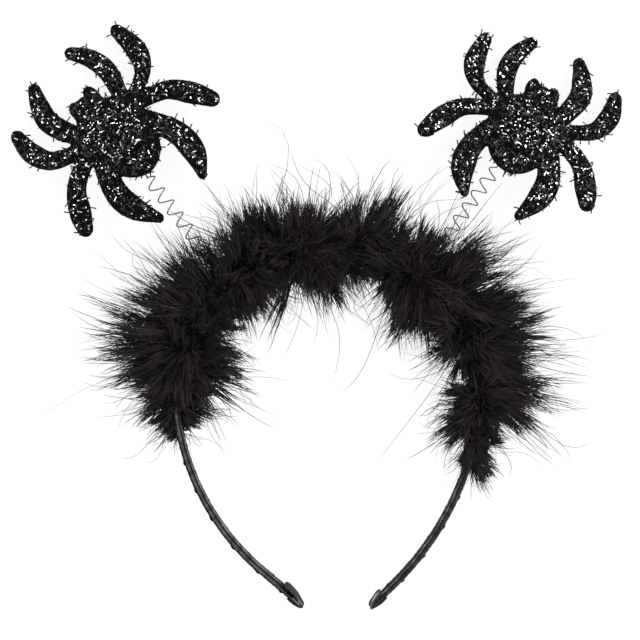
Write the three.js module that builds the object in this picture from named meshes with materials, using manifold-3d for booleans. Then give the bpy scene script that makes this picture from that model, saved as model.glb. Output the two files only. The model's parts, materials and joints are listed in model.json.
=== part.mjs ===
// Spider headband: a ribbon-wrapped hair band with a feather trim over its crown
// and two glitter spiders standing off it on coil springs.
// Millimetres, +Z up. It lies on its back edge, the crown towards +Y.
//
// The hoop is drawn in its own plane, the band frame: x to the side, y towards the crown,
// z to the front, with the centre of the crown's arch at the origin.
// That plane leans up from the two ends of the band, which touch the ground, to the crown,
// which the feather trim carries.

import * as THREE from "three";
import { mergeVertices } from "three/addons/utils/BufferGeometryUtils.js";
import Module from "manifold-3d";

const wasm = await Module();
wasm.setup();

// Band: a circular crown that runs on into two flatter legs, each with a straight run at its end
const ARCH_RADIUS = 60.8;
const ARCH_END_BELOW = THREE.MathUtils.degToRad(9);
const LEFT_END = { tip: new THREE.Vector2(-11.2, -82.4), straight: 20 };
const RIGHT_END = { tip: new THREE.Vector2(18.2, -82.4), straight: 4 };
const BAND_THICKNESS = 2.4;
const BAND_DEPTH = 6;
const BAND_CHAMFER = 0.7;
const BAND_FLARE = THREE.MathUtils.degToRad(5);
const BAND_END_TAPER = { length: 9, thickness: 1.2 };
const ARCH_STEPS = 36;
const LEG_STEPS = 14;
const LEG_ROUNDS = 60;

// End folds: the ribbon's ends, turned over the ends of the band
const FOLD_WIDTH = 6.8;
const FOLD_WALL = 0.8;
const FOLD_ARMS = { left: { outer: 5, inner: 10 }, right: { outer: 5.5, inner: 6.8 } };
const FOLD_BULGE = 0.4;
const FOLD_NOSE = 1.1;
const FOLD_CURVE_STEPS = 5;

// Springs: wire coils that stand on the crown's outer face
const SPRING = { coilRadius: 2.6, wire: 0.55, pitch: 6.1, closingTurns: 0.6, tail: 5 };
const SPRING_SIDES = 5;
const SPRING_STEPS_PER_TURN = 8;
const SEAT_GAP = 0.3;

// Spiders: flat foam cut-outs with rounded edges, headings measured from +X
const LEG_THICKNESS = 3.2;
const BODY_THICKNESS = 4.8;
const LEG_ROUNDING = 0.9;
const BODY_ROUNDING = 1.6;
const WIRE_HOLE = { height: 2, clearance: 0.35, sides: 8 };

// One row for each spring: where on the crown it stands and which way it leaves, in degrees from +X,
// how many turns it has and where in a turn it starts
const COIL_COLUMNS = ["side", "footAngle", "leaves", "turns", "phase"];
const COILS = [
  ["left", 130.3, 127.2, 8.8, 0.82],
  ["right", 53.8, 54.5, 8.75, 0.35],
].map((row) => Object.fromEntries(COIL_COLUMNS.map((column, i) => [column, row[i]])));

// One row for each spider: which way it heads in degrees from +X, the side its right legs are on,
// how far its cut is stretched along the body, and where across the abdomen the wire enters
const STAND_COLUMNS = ["heading", "handed", "reach", "wireAcross"];
const STANDS = [
  [130.3, 1, 1.05, -1.1],
  [70.8, -1, 0.965, 6.1],
].map((row, k) => ({
  coil: COILS[k],
  ...Object.fromEntries(STAND_COLUMNS.map((column, i) => [column, row[i]])),
}));

// One row for each leg: where its middle line passes, and how wide it is there.
// Across is to the spider's right and along is towards its head, from the middle of the body.
const LEG_COLUMNS = ["name", "hip", "knee", "shin", "toe", "widths"];
const LEGS = [
  ["left_front", [-10, 6], [-17.3, 20.5], [-16.2, 29.5], [-13.7, 35.6], [6.2, 8.6, 7.4, 4.8]],
  ["left_second", [-11, 4.4], [-25.5, 8.6], [-30.8, 16.5], [-31.2, 25.4], [5.2, 6.8, 8.2, 5.4]],
  ["left_third", [-10, 4], [-25, -4.4], [-31, -13.5], [-33.7, -19.6], [6.4, 7.2, 8.6, 6.4]],
  ["left_rear", [-8.5, 3], [-14.6, -15], [-13.6, -25.5], [-8.3, -35.2], [6.6, 9.2, 9.2, 3.8]],
  ["right_front", [9.6, 5], [13.7, 21], [12, 30.4], [7.2, 37.4], [4.4, 7.6, 7.2, 5]],
  ["right_second", [11, 7], [23.6, 12.4], [28.2, 21], [27.3, 32.2], [4, 5.8, 8.4, 5.4]],
  ["right_third", [10, 6], [26, 2], [33.8, -5.6], [38.6, -12.9], [5.4, 7, 8.6, 6.2]],
  ["right_rear", [10, 3], [18.8, -13], [19.5, -24], [16, -33.3], [6.8, 9, 9.2, 3.4]],
].map((row) => Object.fromEntries(LEG_COLUMNS.map((column, i) => [column, row[i]])));

// How far a leg is bent round at the hip, in degrees, where the cut-out has taken a set
const SWAYS = {
  left: {},
  right: {
    left_front: -3,
    left_second: -2,
    left_third: 3,
    right_front: -3,
    right_third: -1,
    right_rear: -1,
  },
};

// One row for each lobe of the body: an ellipse by its middle and its two half sizes
const LOBE_COLUMNS = ["name", "across", "along", "halfAcross", "halfAlong"];
const LOBES = [
  ["head", -1.6, 13.3, 7.4, 7],
  ["thorax", -0.2, 4, 15, 11.4],
  ["abdomen", 1.2, -5.6, 12.2, 13.4],
  ["left_fang", -5.9, 17.9, 2.8, 3.8],
  ["right_fang", 2.7, 18.4, 2.8, 4.7],
].map((row) => Object.fromEntries(LOBE_COLUMNS.map((column, i) => [column, row[i]])));
const ABDOMEN = LOBES.find((lobe) => lobe.name === "abdomen");
const BIG_LOBE = { leastHalfAcross: 5, sides: 22 };
const SMALL_LOBE_SIDES = 12;
const LEG_OUTLINE_STEPS = 6;
const TOE_STEPS = 4;

// Feather trim: one row for each whorl of plumes, by its place along the band from the crown
// and how far its dense part reaches from the band, inside the hoop and outside it
const WHORL_COLUMNS = ["station", "inside", "outside"];
const WHORLS = [
  [-104, 6, 8], [-98, 13, 14], [-89, 17, 20], [-79, 23, 25], [-68, 18, 29], [-58, 13, 26],
  [-47, 15, 20], [-37, 15, 22], [-26, 14, 22], [-16, 15, 21], [-5, 20, 16], [5, 18, 18],
  [16, 12, 22], [26, 11, 20], [37, 19, 19], [47, 18, 24], [58, 13, 23], [68, 17, 28],
  [79, 8, 28], [89, 12, 22], [97, 14, 24], [104, 13, 12], [111, 8, 9], [118, 4, 10],
].map((row) => Object.fromEntries(WHORL_COLUMNS.map((column, i) => [column, row[i]])));
const TRIM_START = -106;
const TRIM_END = 121;
const CORE_SHARE = 0.7;
const CORE_SIDES = 8;
const CORE_LEAST_RADIUS = 5;
const PLUMES_PER_WHORL = 4;
const PLUME_SIDES = 5;
const PLUME_OVERREACH = 1.16;
const PLUME_SCATTER = 0.3;
const FRONT_SHARE = 0.85;
const PLUME_SLENDERNESS = 0.32;
const PLUME_LEAN = 0.45;
// A plume's outline: its share of the girth, and its share of the length
const PLUME_PROFILE = [[0, 0], [1, 0.42], [0.66, 0.78], [0, 1]];
const TRIM_GAP = 0.5;
const TRIM_SEED = 11;
const BAND_PASSAGE = { margin: 6, steps: 32 };
const SPRING_PASSAGE_SIDES = 12;

const GROUND_SLAB = 80;

// Joining and cutting closed meshes

function solidOf(geometry) {
  const bare = geometry.clone();
  bare.deleteAttribute("normal");
  bare.deleteAttribute("uv");
  const merged = mergeVertices(bare, 1e-4);
  return new wasm.Manifold(
    new wasm.Mesh({
      numProp: 3,
      vertProperties: merged.attributes.position.array,
      triVerts: new Uint32Array(merged.index.array),
    }),
  );
}

function geometryOf(solid) {
  const mesh = solid.getMesh();
  const geometry = new THREE.BufferGeometry();
  geometry.setAttribute("position", new THREE.BufferAttribute(mesh.vertProperties, 3));
  geometry.setIndex(new THREE.BufferAttribute(mesh.triVerts, 1));
  const faceted = geometry.toNonIndexed();
  faceted.computeVertexNormals();
  return faceted;
}

function fuse(geometries) {
  return geometries.map(solidOf).reduce((whole, next) => whole.add(next));
}

// A closed skin through rings of equal count, with a fan at each end.
// Each ring turns anticlockwise as seen from the end of the loft.
function loft(rings) {
  const count = rings[0].length;
  const points = rings.flat();
  const indices = [];
  for (let ring = 0; ring + 1 < rings.length; ring++) {
    for (let i = 0; i < count; i++) {
      const a = ring * count + i;
      const b = ring * count + ((i + 1) % count);
      indices.push(a, b, b + count, a, b + count, a + count);
    }
  }
  const last = (rings.length - 1) * count;
  for (let i = 1; i + 1 < count; i++) {
    indices.push(0, i + 1, i);
    indices.push(last, last + i, last + i + 1);
  }
  const geometry = new THREE.BufferGeometry().setFromPoints(points);
  geometry.setIndex(indices);
  return geometry;
}

// The band's middle line, by distance along it from the crown, positive to the right

// A leg is an arc that leaves the crown's arch without a kink, then a straight run to the tip.
// The arc's turn and the direction of the straight run settle each other in a few rounds.
function legCourse(side, end) {
  const start = new THREE.Vector2(
    side * ARCH_RADIUS * Math.cos(ARCH_END_BELOW),
    -ARCH_RADIUS * Math.sin(ARCH_END_BELOW),
  );
  let turned = ARCH_END_BELOW;
  let radius = ARCH_RADIUS;
  for (let i = 0; i < LEG_ROUNDS; i++) {
    const way = new THREE.Vector2(-side * Math.sin(turned), -Math.cos(turned));
    const chord = end.tip.clone().addScaledVector(way, -end.straight).sub(start);
    const halfTurn = Math.atan2(-side * chord.x, -chord.y) - ARCH_END_BELOW;
    turned = ARCH_END_BELOW + 2 * halfTurn;
    radius = chord.length() / (2 * Math.sin(halfTurn));
  }
  const arcLength = (turned - ARCH_END_BELOW) * radius;
  return { start, radius, arcLength, length: arcLength + end.straight };
}

const ARCH_HALF_LENGTH = ARCH_RADIUS * (Math.PI / 2 + ARCH_END_BELOW);
const LEFT_LEG = legCourse(-1, LEFT_END);
const RIGHT_LEG = legCourse(1, RIGHT_END);

// The place on the middle line, its direction of travel and the way out of the hoop.
function bandAt(station) {
  const side = Math.sign(station) || 1;
  const past = Math.abs(station) - ARCH_HALF_LENGTH;
  if (past <= 0) {
    const angle = Math.PI / 2 - station / ARCH_RADIUS;
    const out = new THREE.Vector3(Math.cos(angle), Math.sin(angle), 0);
    const along = new THREE.Vector3(out.y, -out.x, 0);
    return { point: out.clone().multiplyScalar(ARCH_RADIUS), along, out };
  }
  const leg = side < 0 ? LEFT_LEG : RIGHT_LEG;
  const bent = Math.min(past, leg.arcLength);
  const turned = ARCH_END_BELOW + bent / leg.radius;
  const out = new THREE.Vector3(side * Math.cos(turned), -Math.sin(turned), 0);
  const startOut = new THREE.Vector2(
    side * Math.cos(ARCH_END_BELOW),
    -Math.sin(ARCH_END_BELOW),
  );
  const centre = leg.start.clone().addScaledVector(startOut, -leg.radius);
  const point = new THREE.Vector3(centre.x, centre.y, 0).addScaledVector(out, leg.radius);
  const along = new THREE.Vector3(out.y, -out.x, 0);
  point.addScaledVector(along, side * (past - bent));
  return { point, along, out };
}

const FRONT = new THREE.Vector3(0, 0, 1);

// The section's own axes, tipped so that its front edge is the wider one.
function flaredAxes(out) {
  const outward = out.clone().multiplyScalar(Math.cos(BAND_FLARE));
  outward.addScaledVector(FRONT, -Math.sin(BAND_FLARE));
  const forward = FRONT.clone().multiplyScalar(Math.cos(BAND_FLARE));
  forward.addScaledVector(out, Math.sin(BAND_FLARE));
  return { outward, forward };
}

function lastStation(side) {
  return side * (ARCH_HALF_LENGTH + (side < 0 ? LEFT_LEG : RIGHT_LEG).length);
}

// The band's section at a station, grown by a clearance.
function bandRing(station, clearance = 0) {
  const { point, out } = bandAt(station);
  const fromEnd = Math.abs(lastStation(Math.sign(station) || 1) - station);
  const taper = THREE.MathUtils.smoothstep(fromEnd, 0, BAND_END_TAPER.length);
  const thickness = THREE.MathUtils.lerp(BAND_END_TAPER.thickness, BAND_THICKNESS, taper);
  const halfThick = thickness / 2 + clearance;
  const halfDeep = BAND_DEPTH / 2 + clearance;
  const chamfer = Math.min(BAND_CHAMFER, halfThick * 0.6);
  const { outward, forward } = flaredAxes(out);
  const corners = [
    [halfThick, -halfDeep + chamfer], [halfThick, halfDeep - chamfer],
    [halfThick - chamfer, halfDeep], [-halfThick + chamfer, halfDeep],
    [-halfThick, halfDeep - chamfer], [-halfThick, -halfDeep + chamfer],
    [-halfThick + chamfer, -halfDeep], [halfThick - chamfer, -halfDeep],
  ];
  return corners.map(([o, f]) =>
    point.clone().addScaledVector(outward, o).addScaledVector(forward, f),
  );
}

function stationsBetween(from, to, steps) {
  return Array.from({ length: steps + 1 }, (_, i) => from + ((to - from) * i) / steps);
}

function bandStations() {
  const left = stationsBetween(lastStation(-1), -ARCH_HALF_LENGTH, LEG_STEPS);
  const arch = stationsBetween(-ARCH_HALF_LENGTH, ARCH_HALF_LENGTH, ARCH_STEPS);
  const right = stationsBetween(ARCH_HALF_LENGTH, lastStation(1), LEG_STEPS);
  return [...left.slice(0, -1), ...arch, ...right.slice(1)];
}

function bandGeometry() {
  return loft(bandStations().map((station) => bandRing(station)));
}

// A turned-over ribbon end: a bent wall round the end of the band, its inner arm standing open.
// Drawn with x along the band, past its end, and y out of the hoop.
function endFoldGeometry(arms) {
  const rootHalf = BAND_THICKNESS / 2 + SEAT_GAP;
  const endHalf = BAND_END_TAPER.thickness / 2 + SEAT_GAP;
  const nose = SEAT_GAP + FOLD_WALL + FOLD_NOSE / 2;
  const free = rootHalf + FOLD_WALL;
  const belly = -arms.inner / 2;
  const shape = new THREE.Shape();
  shape.moveTo(-arms.outer, rootHalf);
  shape.lineTo(SEAT_GAP, endHalf);
  shape.lineTo(SEAT_GAP, -endHalf);
  shape.quadraticCurveTo(belly, -rootHalf - FOLD_BULGE, -arms.inner, -rootHalf);
  shape.lineTo(-arms.inner, -free);
  shape.quadraticCurveTo(belly, -free - 2 * FOLD_BULGE, nose, -FOLD_NOSE * 0.8);
  shape.quadraticCurveTo(nose + FOLD_NOSE * 0.8, 0, nose, FOLD_NOSE * 0.8);
  shape.quadraticCurveTo(-arms.outer * 0.4, free - 0.3, -arms.outer, free - 0.3);
  shape.closePath();
  const fold = new THREE.ExtrudeGeometry(shape, {
    depth: FOLD_WIDTH,
    bevelEnabled: false,
    curveSegments: FOLD_CURVE_STEPS,
  });
  return fold.translate(0, 0, -FOLD_WIDTH / 2);
}

// Stands the fold on one end of the band, tipped with the band's flare.
function placeAtEnd(geometry, side) {
  const { point, along, out } = bandAt(lastStation(side));
  const past = along.clone().multiplyScalar(side);
  const { outward, forward } = flaredAxes(out);
  const basis = new THREE.Matrix4().makeBasis(past, outward, forward).setPosition(point);
  geometry.applyMatrix4(basis);
  return side > 0 ? geometry : flipped(geometry);
}

// Turns each face round, for a geometry placed by a mirroring basis.
function flipped(geometry) {
  const faces = geometry.index ? geometry.toNonIndexed() : geometry;
  const position = faces.attributes.position;
  for (let i = 0; i < position.count; i += 3) {
    const second = new THREE.Vector3().fromBufferAttribute(position, i + 1);
    const third = new THREE.Vector3().fromBufferAttribute(position, i + 2);
    position.setXYZ(i + 1, third.x, third.y, third.z);
    position.setXYZ(i + 2, second.x, second.y, second.z);
  }
  return faces;
}

// Springs, drawn along +Z with the seated end at the origin

function coilLength(coil) {
  return SPRING.pitch * coil.turns;
}

function springLength(coil) {
  return coilLength(coil) + SPRING.tail;
}

// The wire's line: round the coil, drawn in to the axis over the closing turns, then straight on.
class SpringLine extends THREE.Curve {
  constructor(coil) {
    super();
    this.coil = coil;
  }

  getPoint(t, target = new THREE.Vector3()) {
    const { turns, phase } = this.coil;
    const coilShare = turns / (turns + SPRING.closingTurns);
    if (t > coilShare) {
      const beyond = (t - coilShare) / (1 - coilShare);
      return target.set(0, 0, coilLength(this.coil) + SPRING.tail * beyond);
    }
    const turn = (t / coilShare) * turns;
    const closing = THREE.MathUtils.smoothstep(turns - turn, 0, SPRING.closingTurns);
    const radius = SPRING.coilRadius * closing;
    const angle = 2 * Math.PI * (turn - phase);
    return target.set(radius * Math.cos(angle), radius * Math.sin(angle), SPRING.pitch * turn);
  }
}

function springGeometry(coil) {
  const section = new THREE.Shape();
  section.absarc(0, 0, SPRING.wire / 2, 0, 2 * Math.PI);
  const polygon = new THREE.Shape(section.getPoints(SPRING_SIDES).slice(0, SPRING_SIDES));
  return new THREE.ExtrudeGeometry(polygon, {
    steps: Math.round(SPRING_STEPS_PER_TURN * (coil.turns + SPRING.closingTurns)),
    extrudePath: new SpringLine(coil),
    bevelEnabled: false,
  });
}

// Spiders, drawn flat: x across, y towards the head, z up from the flat back

function legShape(leg, sway) {
  const hip = new THREE.Vector2(...leg.hip);
  const bend = THREE.MathUtils.degToRad(sway);
  const joints = [leg.hip, leg.knee, leg.shin, leg.toe];
  const line = new THREE.SplineCurve(
    joints.map(([x, y]) => new THREE.Vector2(x, y).rotateAround(hip, bend)),
  );
  const widths = new THREE.SplineCurve(leg.widths.map((width, i) => new THREE.Vector2(i / 3, width)));
  const left = [];
  const right = [];
  for (let i = 0; i <= LEG_OUTLINE_STEPS; i++) {
    const share = i / LEG_OUTLINE_STEPS;
    const point = line.getPoint(share);
    const way = line.getTangent(share);
    const half = widths.getPoint(share).y / 2;
    left.push(new THREE.Vector2(point.x - way.y * half, point.y + way.x * half));
    right.push(new THREE.Vector2(point.x + way.y * half, point.y - way.x * half));
  }
  const toe = line.getPoint(1);
  const heading = line.getTangent(1).angle();
  const cap = [];
  for (let i = 1; i < TOE_STEPS; i++) {
    const angle = heading + Math.PI / 2 - (Math.PI * i) / TOE_STEPS;
    const half = leg.widths[3] / 2;
    cap.push(new THREE.Vector2(toe.x + half * Math.cos(angle), toe.y + half * Math.sin(angle)));
  }
  return new THREE.Shape([...left, ...cap, ...right.reverse()]);
}

function isBig(lobe) {
  return lobe.halfAcross > BIG_LOBE.leastHalfAcross;
}

function lobeShape(lobe) {
  const sides = isBig(lobe) ? BIG_LOBE.sides : SMALL_LOBE_SIDES;
  const rim = new THREE.EllipseCurve(lobe.across, lobe.along, lobe.halfAcross, lobe.halfAlong);
  return new THREE.Shape(rim.getPoints(sides).slice(0, sides));
}

function cutOut(shape, thickness, rounding) {
  const flat = new THREE.ExtrudeGeometry(shape, {
    depth: thickness - 2 * rounding,
    bevelEnabled: true,
    bevelThickness: rounding,
    bevelSize: rounding,
    bevelOffset: -rounding,
    bevelSegments: 1,
  });
  return flat.translate(0, 0, rounding);
}

// The cut-out, its right legs on the side that is asked for.
function spiderGeometry(stand) {
  const lobes = LOBES.map((lobe) => {
    const thickness = isBig(lobe) ? BODY_THICKNESS : LEG_THICKNESS;
    const rounding = isBig(lobe) ? BODY_ROUNDING : LEG_ROUNDING;
    return cutOut(lobeShape(lobe), thickness, rounding);
  });
  const sways = SWAYS[stand.coil.side];
  const legs = LEGS.map((leg) => cutOut(legShape(leg, sways[leg.name] ?? 0), LEG_THICKNESS, LEG_ROUNDING));
  const whole = geometryOf(fuse([...lobes, ...legs])).scale(stand.handed, stand.reach, 1);
  return stand.handed > 0 ? whole : flipped(whole);
}

// Where the wire enters, on the rear edge of the abdomen.
function wireEntry(stand) {
  const share = (stand.wireAcross - ABDOMEN.across) / ABDOMEN.halfAcross;
  const along = ABDOMEN.along - ABDOMEN.halfAlong * Math.sqrt(1 - share * share);
  return new THREE.Vector3(stand.handed * stand.wireAcross, stand.reach * along, WIRE_HOLE.height);
}

// The hole for the wire's tail, along +Z as the spring is drawn.
function tailPassage(coil) {
  const radius = SPRING.wire / 2 + WIRE_HOLE.clearance;
  const length = 2 * SPRING.tail;
  const rod = new THREE.CylinderGeometry(radius, radius, length, WIRE_HOLE.sides);
  const end = springLength(coil) + WIRE_HOLE.clearance;
  return rod.rotateX(Math.PI / 2).translate(0, 0, end - length / 2);
}

// Feather trim, in the band frame

function seededRandom(seed) {
  let state = seed >>> 0;
  return () => {
    state = (state + 0x6d2b79f5) >>> 0;
    let mixed = Math.imul(state ^ (state >>> 15), state | 1);
    mixed ^= mixed + Math.imul(mixed ^ (mixed >>> 7), mixed | 61);
    return ((mixed ^ (mixed >>> 14)) >>> 0) / 4294967296;
  };
}

// How far the dense part reaches at a station, at an angle round the band from the way out.
function trimReach(station, around) {
  const next = WHORLS.findIndex((whorl) => whorl.station > station);
  const after = WHORLS[next < 0 ? WHORLS.length - 1 : next];
  const before = WHORLS[next < 0 ? WHORLS.length - 1 : Math.max(next - 1, 0)];
  const span = after.station - before.station || 1;
  const share = THREE.MathUtils.clamp((station - before.station) / span, 0, 1);
  const inside = THREE.MathUtils.lerp(before.inside, after.inside, share);
  const outside = THREE.MathUtils.lerp(before.outside, after.outside, share);
  const level = THREE.MathUtils.lerp(inside, outside, (1 + Math.cos(around)) / 2);
  return level * THREE.MathUtils.lerp(1, FRONT_SHARE, Math.abs(Math.sin(around)));
}

function trimCore() {
  const stations = [TRIM_START, ...WHORLS.map((whorl) => whorl.station), TRIM_END];
  const rings = stations.map((station) => {
    const { point, out } = bandAt(station);
    return Array.from({ length: CORE_SIDES }, (_, side) => {
      const around = (2 * Math.PI * side) / CORE_SIDES;
      const radius = Math.max(CORE_LEAST_RADIUS, CORE_SHARE * trimReach(station, around));
      const level = point.clone().addScaledVector(out, radius * Math.cos(around));
      return level.addScaledVector(FRONT, radius * Math.sin(around));
    });
  });
  return loft(rings);
}

// A plume: fullest below its middle, drawn in to a point, standing along +Y.
function plumeGeometry(length) {
  const girth = length * PLUME_SLENDERNESS;
  const points = PLUME_PROFILE.map(([wide, high]) => new THREE.Vector2(girth * wide, length * high));
  return new THREE.LatheGeometry(points, PLUME_SIDES);
}

function trimPlumes() {
  const random = seededRandom(TRIM_SEED);
  const up = new THREE.Vector3(0, 1, 0);
  return WHORLS.flatMap((whorl) => {
    const { point, along, out } = bandAt(whorl.station);
    return Array.from({ length: PLUMES_PER_WHORL }, (_, i) => {
      const around = (2 * Math.PI * i) / PLUMES_PER_WHORL + PLUME_SCATTER * (2 * random() - 1);
      const way = out.clone().multiplyScalar(Math.cos(around)).addScaledVector(FRONT, Math.sin(around));
      way.addScaledVector(along, PLUME_LEAN * (2 * random() - 1)).normalize();
      const length = PLUME_OVERREACH * trimReach(whorl.station, around) * (0.9 + 0.2 * random());
      const turn = new THREE.Quaternion().setFromUnitVectors(up, way);
      return plumeGeometry(length).applyQuaternion(turn).translate(point.x, point.y, point.z);
    });
  });
}

// The way through the trim that the band takes, a little wider than the band.
function bandPassage() {
  const from = TRIM_START - BAND_PASSAGE.margin;
  const to = TRIM_END + BAND_PASSAGE.margin;
  const stations = stationsBetween(from, to, BAND_PASSAGE.steps);
  return loft(stations.map((station) => bandRing(station, TRIM_GAP)));
}

// A closed round rod along +Z for the space that a spring stands in.
function springPassage(coil) {
  const length = springLength(coil);
  const radius = SPRING.coilRadius + SPRING.wire / 2 + TRIM_GAP;
  const rod = new THREE.CylinderGeometry(radius, radius, length, SPRING_PASSAGE_SIDES);
  return rod.rotateX(Math.PI / 2).translate(0, 0, length / 2 - SPRING.wire);
}

// Putting the pieces together

const materials = {
  ribbon: new THREE.MeshStandardMaterial({ color: 0x1c1b1c, roughness: 0.45, metalness: 0 }),
  feather: new THREE.MeshStandardMaterial({ color: 0x141113, roughness: 0.9, metalness: 0 }),
  wire: new THREE.MeshStandardMaterial({ color: 0x8d8d8f, roughness: 0.3, metalness: 1 }),
  glitter: new THREE.MeshStandardMaterial({ color: 0x1a1a1b, roughness: 0.35, metalness: 0.3 }),
};

function piece(name, geometry, material) {
  const mesh = new THREE.Mesh(geometry, material);
  mesh.name = name;
  return mesh;
}

// How the hoop leans: its ends on the ground, its crown as high as the trim is thick below it.
const CROWN_HEIGHT = 13;
const END_HEIGHT = FOLD_WIDTH / 2 + 0.6;
const LEAN = Math.asin((CROWN_HEIGHT - END_HEIGHT) / (ARCH_RADIUS - LEFT_END.tip.y));

const headband = new THREE.Group();
const hoop = new THREE.Group();
hoop.rotation.x = LEAN;
hoop.position.z = CROWN_HEIGHT - ARCH_RADIUS * Math.sin(LEAN);
hoop.updateMatrix();
headband.add(hoop);

hoop.add(piece("band", bandGeometry(), materials.ribbon));
hoop.add(piece("left_end_fold", placeAtEnd(endFoldGeometry(FOLD_ARMS.left), -1), materials.ribbon));
hoop.add(piece("right_end_fold", placeAtEnd(endFoldGeometry(FOLD_ARMS.right), 1), materials.ribbon));

// A spring stands level on the crown's outer face.
function springPlace(coil) {
  const footAngle = THREE.MathUtils.degToRad(coil.footAngle);
  const leaves = THREE.MathUtils.degToRad(coil.leaves);
  const seat = ARCH_RADIUS + BAND_THICKNESS / 2 / Math.cos(BAND_FLARE) + SEAT_GAP + SPRING.wire / 2;
  const foot = new THREE.Vector3(Math.cos(footAngle), Math.sin(footAngle), 0).multiplyScalar(seat);
  const axis = new THREE.Vector3(Math.cos(leaves), Math.sin(leaves), 0);
  const across = new THREE.Vector3().crossVectors(FRONT, axis);
  const place = new THREE.Matrix4().makeBasis(across, FRONT, axis);
  return place.setPosition(foot.applyMatrix4(hoop.matrix));
}

function lowestAfter(geometry, place) {
  const corners = geometry.attributes.position;
  const corner = new THREE.Vector3();
  let low = Infinity;
  for (let i = 0; i < corners.count; i++) {
    low = Math.min(low, corner.fromBufferAttribute(corners, i).applyMatrix4(place).z);
  }
  return low;
}

// A spider hangs on the tail of its spring and leans down until its front toes meet the ground.
function spiderPlace(stand, spring, geometry) {
  const joint = new THREE.Vector3(0, 0, coilLength(stand.coil)).applyMatrix4(spring);
  const entry = wireEntry(stand);
  const turn = THREE.MathUtils.degToRad(stand.heading) - Math.PI / 2;
  const leaning = (lean) =>
    new THREE.Matrix4()
      .makeTranslation(joint.x, joint.y, joint.z)
      .multiply(new THREE.Matrix4().makeRotationZ(turn))
      .multiply(new THREE.Matrix4().makeRotationX(-lean))
      .multiply(new THREE.Matrix4().makeTranslation(-entry.x, -entry.y, -entry.z));
  let level = 0;
  let steep = Math.PI / 6;
  for (let i = 0; i < 40; i++) {
    const between = (level + steep) / 2;
    if (lowestAfter(geometry, leaning(between)) > 0) {
      level = between;
    } else {
      steep = between;
    }
  }
  return leaning(level);
}

const springPlaces = COILS.map(springPlace);
STANDS.forEach((stand, i) => {
  const spring = springPlaces[i];
  const { coil } = stand;
  headband.add(piece(`${coil.side}_spring`, springGeometry(coil).applyMatrix4(spring), materials.wire));
  const spider = spiderGeometry(stand);
  spider.applyMatrix4(spiderPlace(stand, spring, spider));
  const drilled = solidOf(spider).subtract(solidOf(tailPassage(coil).applyMatrix4(spring)));
  headband.add(piece(`${coil.side}_spider`, geometryOf(drilled), materials.glitter));
});

// The trim is cut clear of the band, the springs and the ground.
const ground = new THREE.BoxGeometry(6 * ARCH_RADIUS, 6 * ARCH_RADIUS, GROUND_SLAB);
ground.translate(0, 0, -GROUND_SLAB / 2);
const plumage = geometryOf(fuse([trimCore(), ...trimPlumes()]).subtract(solidOf(bandPassage())));
const passages = COILS.map((coil, i) => solidOf(springPassage(coil).applyMatrix4(springPlaces[i])));
const trim = passages
  .reduce((rest, passage) => rest.subtract(passage), solidOf(plumage.applyMatrix4(hoop.matrix)))
  .subtract(solidOf(ground));
headband.add(piece("feather_trim", geometryOf(trim), materials.feather));

// The origin is on the ground under the middle of the whole object.
const extent = new THREE.Box3().setFromObject(headband);
const middle = extent.getCenter(new THREE.Vector3());
headband.position.set(-middle.x, -middle.y, -extent.min.z);

export default headband;
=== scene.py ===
"""Spider headband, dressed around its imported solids.

A ribbon-wrapped hair band lies on a pale floor, with a marabou trim over its crown and two
tinsel spiders on coil springs. Lengths are in millimetres until a mesh is made, in metres.
"""

from __future__ import annotations

import json
import logging
import math
from dataclasses import dataclass, field
from enum import Enum
from typing import Any

import bpy
import numpy as np
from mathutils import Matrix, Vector

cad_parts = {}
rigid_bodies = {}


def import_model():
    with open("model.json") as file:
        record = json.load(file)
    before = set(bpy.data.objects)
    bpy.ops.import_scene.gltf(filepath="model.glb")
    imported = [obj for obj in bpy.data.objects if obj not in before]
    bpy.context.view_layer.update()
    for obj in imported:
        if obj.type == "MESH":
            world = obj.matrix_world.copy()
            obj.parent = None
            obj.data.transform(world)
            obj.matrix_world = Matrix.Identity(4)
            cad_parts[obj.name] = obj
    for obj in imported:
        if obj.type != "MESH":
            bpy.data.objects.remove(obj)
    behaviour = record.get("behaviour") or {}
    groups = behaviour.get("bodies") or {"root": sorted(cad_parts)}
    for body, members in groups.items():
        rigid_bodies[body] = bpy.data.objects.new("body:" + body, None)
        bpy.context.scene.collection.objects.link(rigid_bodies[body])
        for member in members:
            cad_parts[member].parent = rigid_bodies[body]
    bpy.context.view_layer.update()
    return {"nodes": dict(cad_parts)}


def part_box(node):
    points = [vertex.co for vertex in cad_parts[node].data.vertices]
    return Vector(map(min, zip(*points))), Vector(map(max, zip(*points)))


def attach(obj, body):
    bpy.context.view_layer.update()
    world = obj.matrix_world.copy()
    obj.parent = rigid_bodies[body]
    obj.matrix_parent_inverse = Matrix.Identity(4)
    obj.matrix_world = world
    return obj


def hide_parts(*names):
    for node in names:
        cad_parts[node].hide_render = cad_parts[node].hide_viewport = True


MM = 0.001
FRONT = np.array([0.0, 0.0, 1.0])
LOG = logging.getLogger("spider_headband")
Array = np.ndarray
Colour = tuple[float, float, float, float]
Table = tuple[tuple[float, ...], ...]


class Side(Enum):
    """The two halves of the headband, as seen from above with the crown at the top."""

    LEFT = -1
    RIGHT = 1

    @property
    def word(self) -> str:
        """The side's name as the CAD nodes spell it."""
        return self.name.lower()


def linear_colour(code: str) -> Colour:
    """Turn an sRGB hex value into a linear colour.

    Args:
        code: Six hex digits, with or without a leading hash.

    Returns:
        Red, green, blue and alpha, linear.
    """
    digits = code.lstrip("#")
    channels = [int(digits[i : i + 2], 16) / 255 for i in (0, 2, 4)]
    linear = [c / 12.92 if c <= 0.04045 else ((c + 0.055) / 1.055) ** 2.4 for c in channels]
    return (linear[0], linear[1], linear[2], 1.0)


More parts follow.
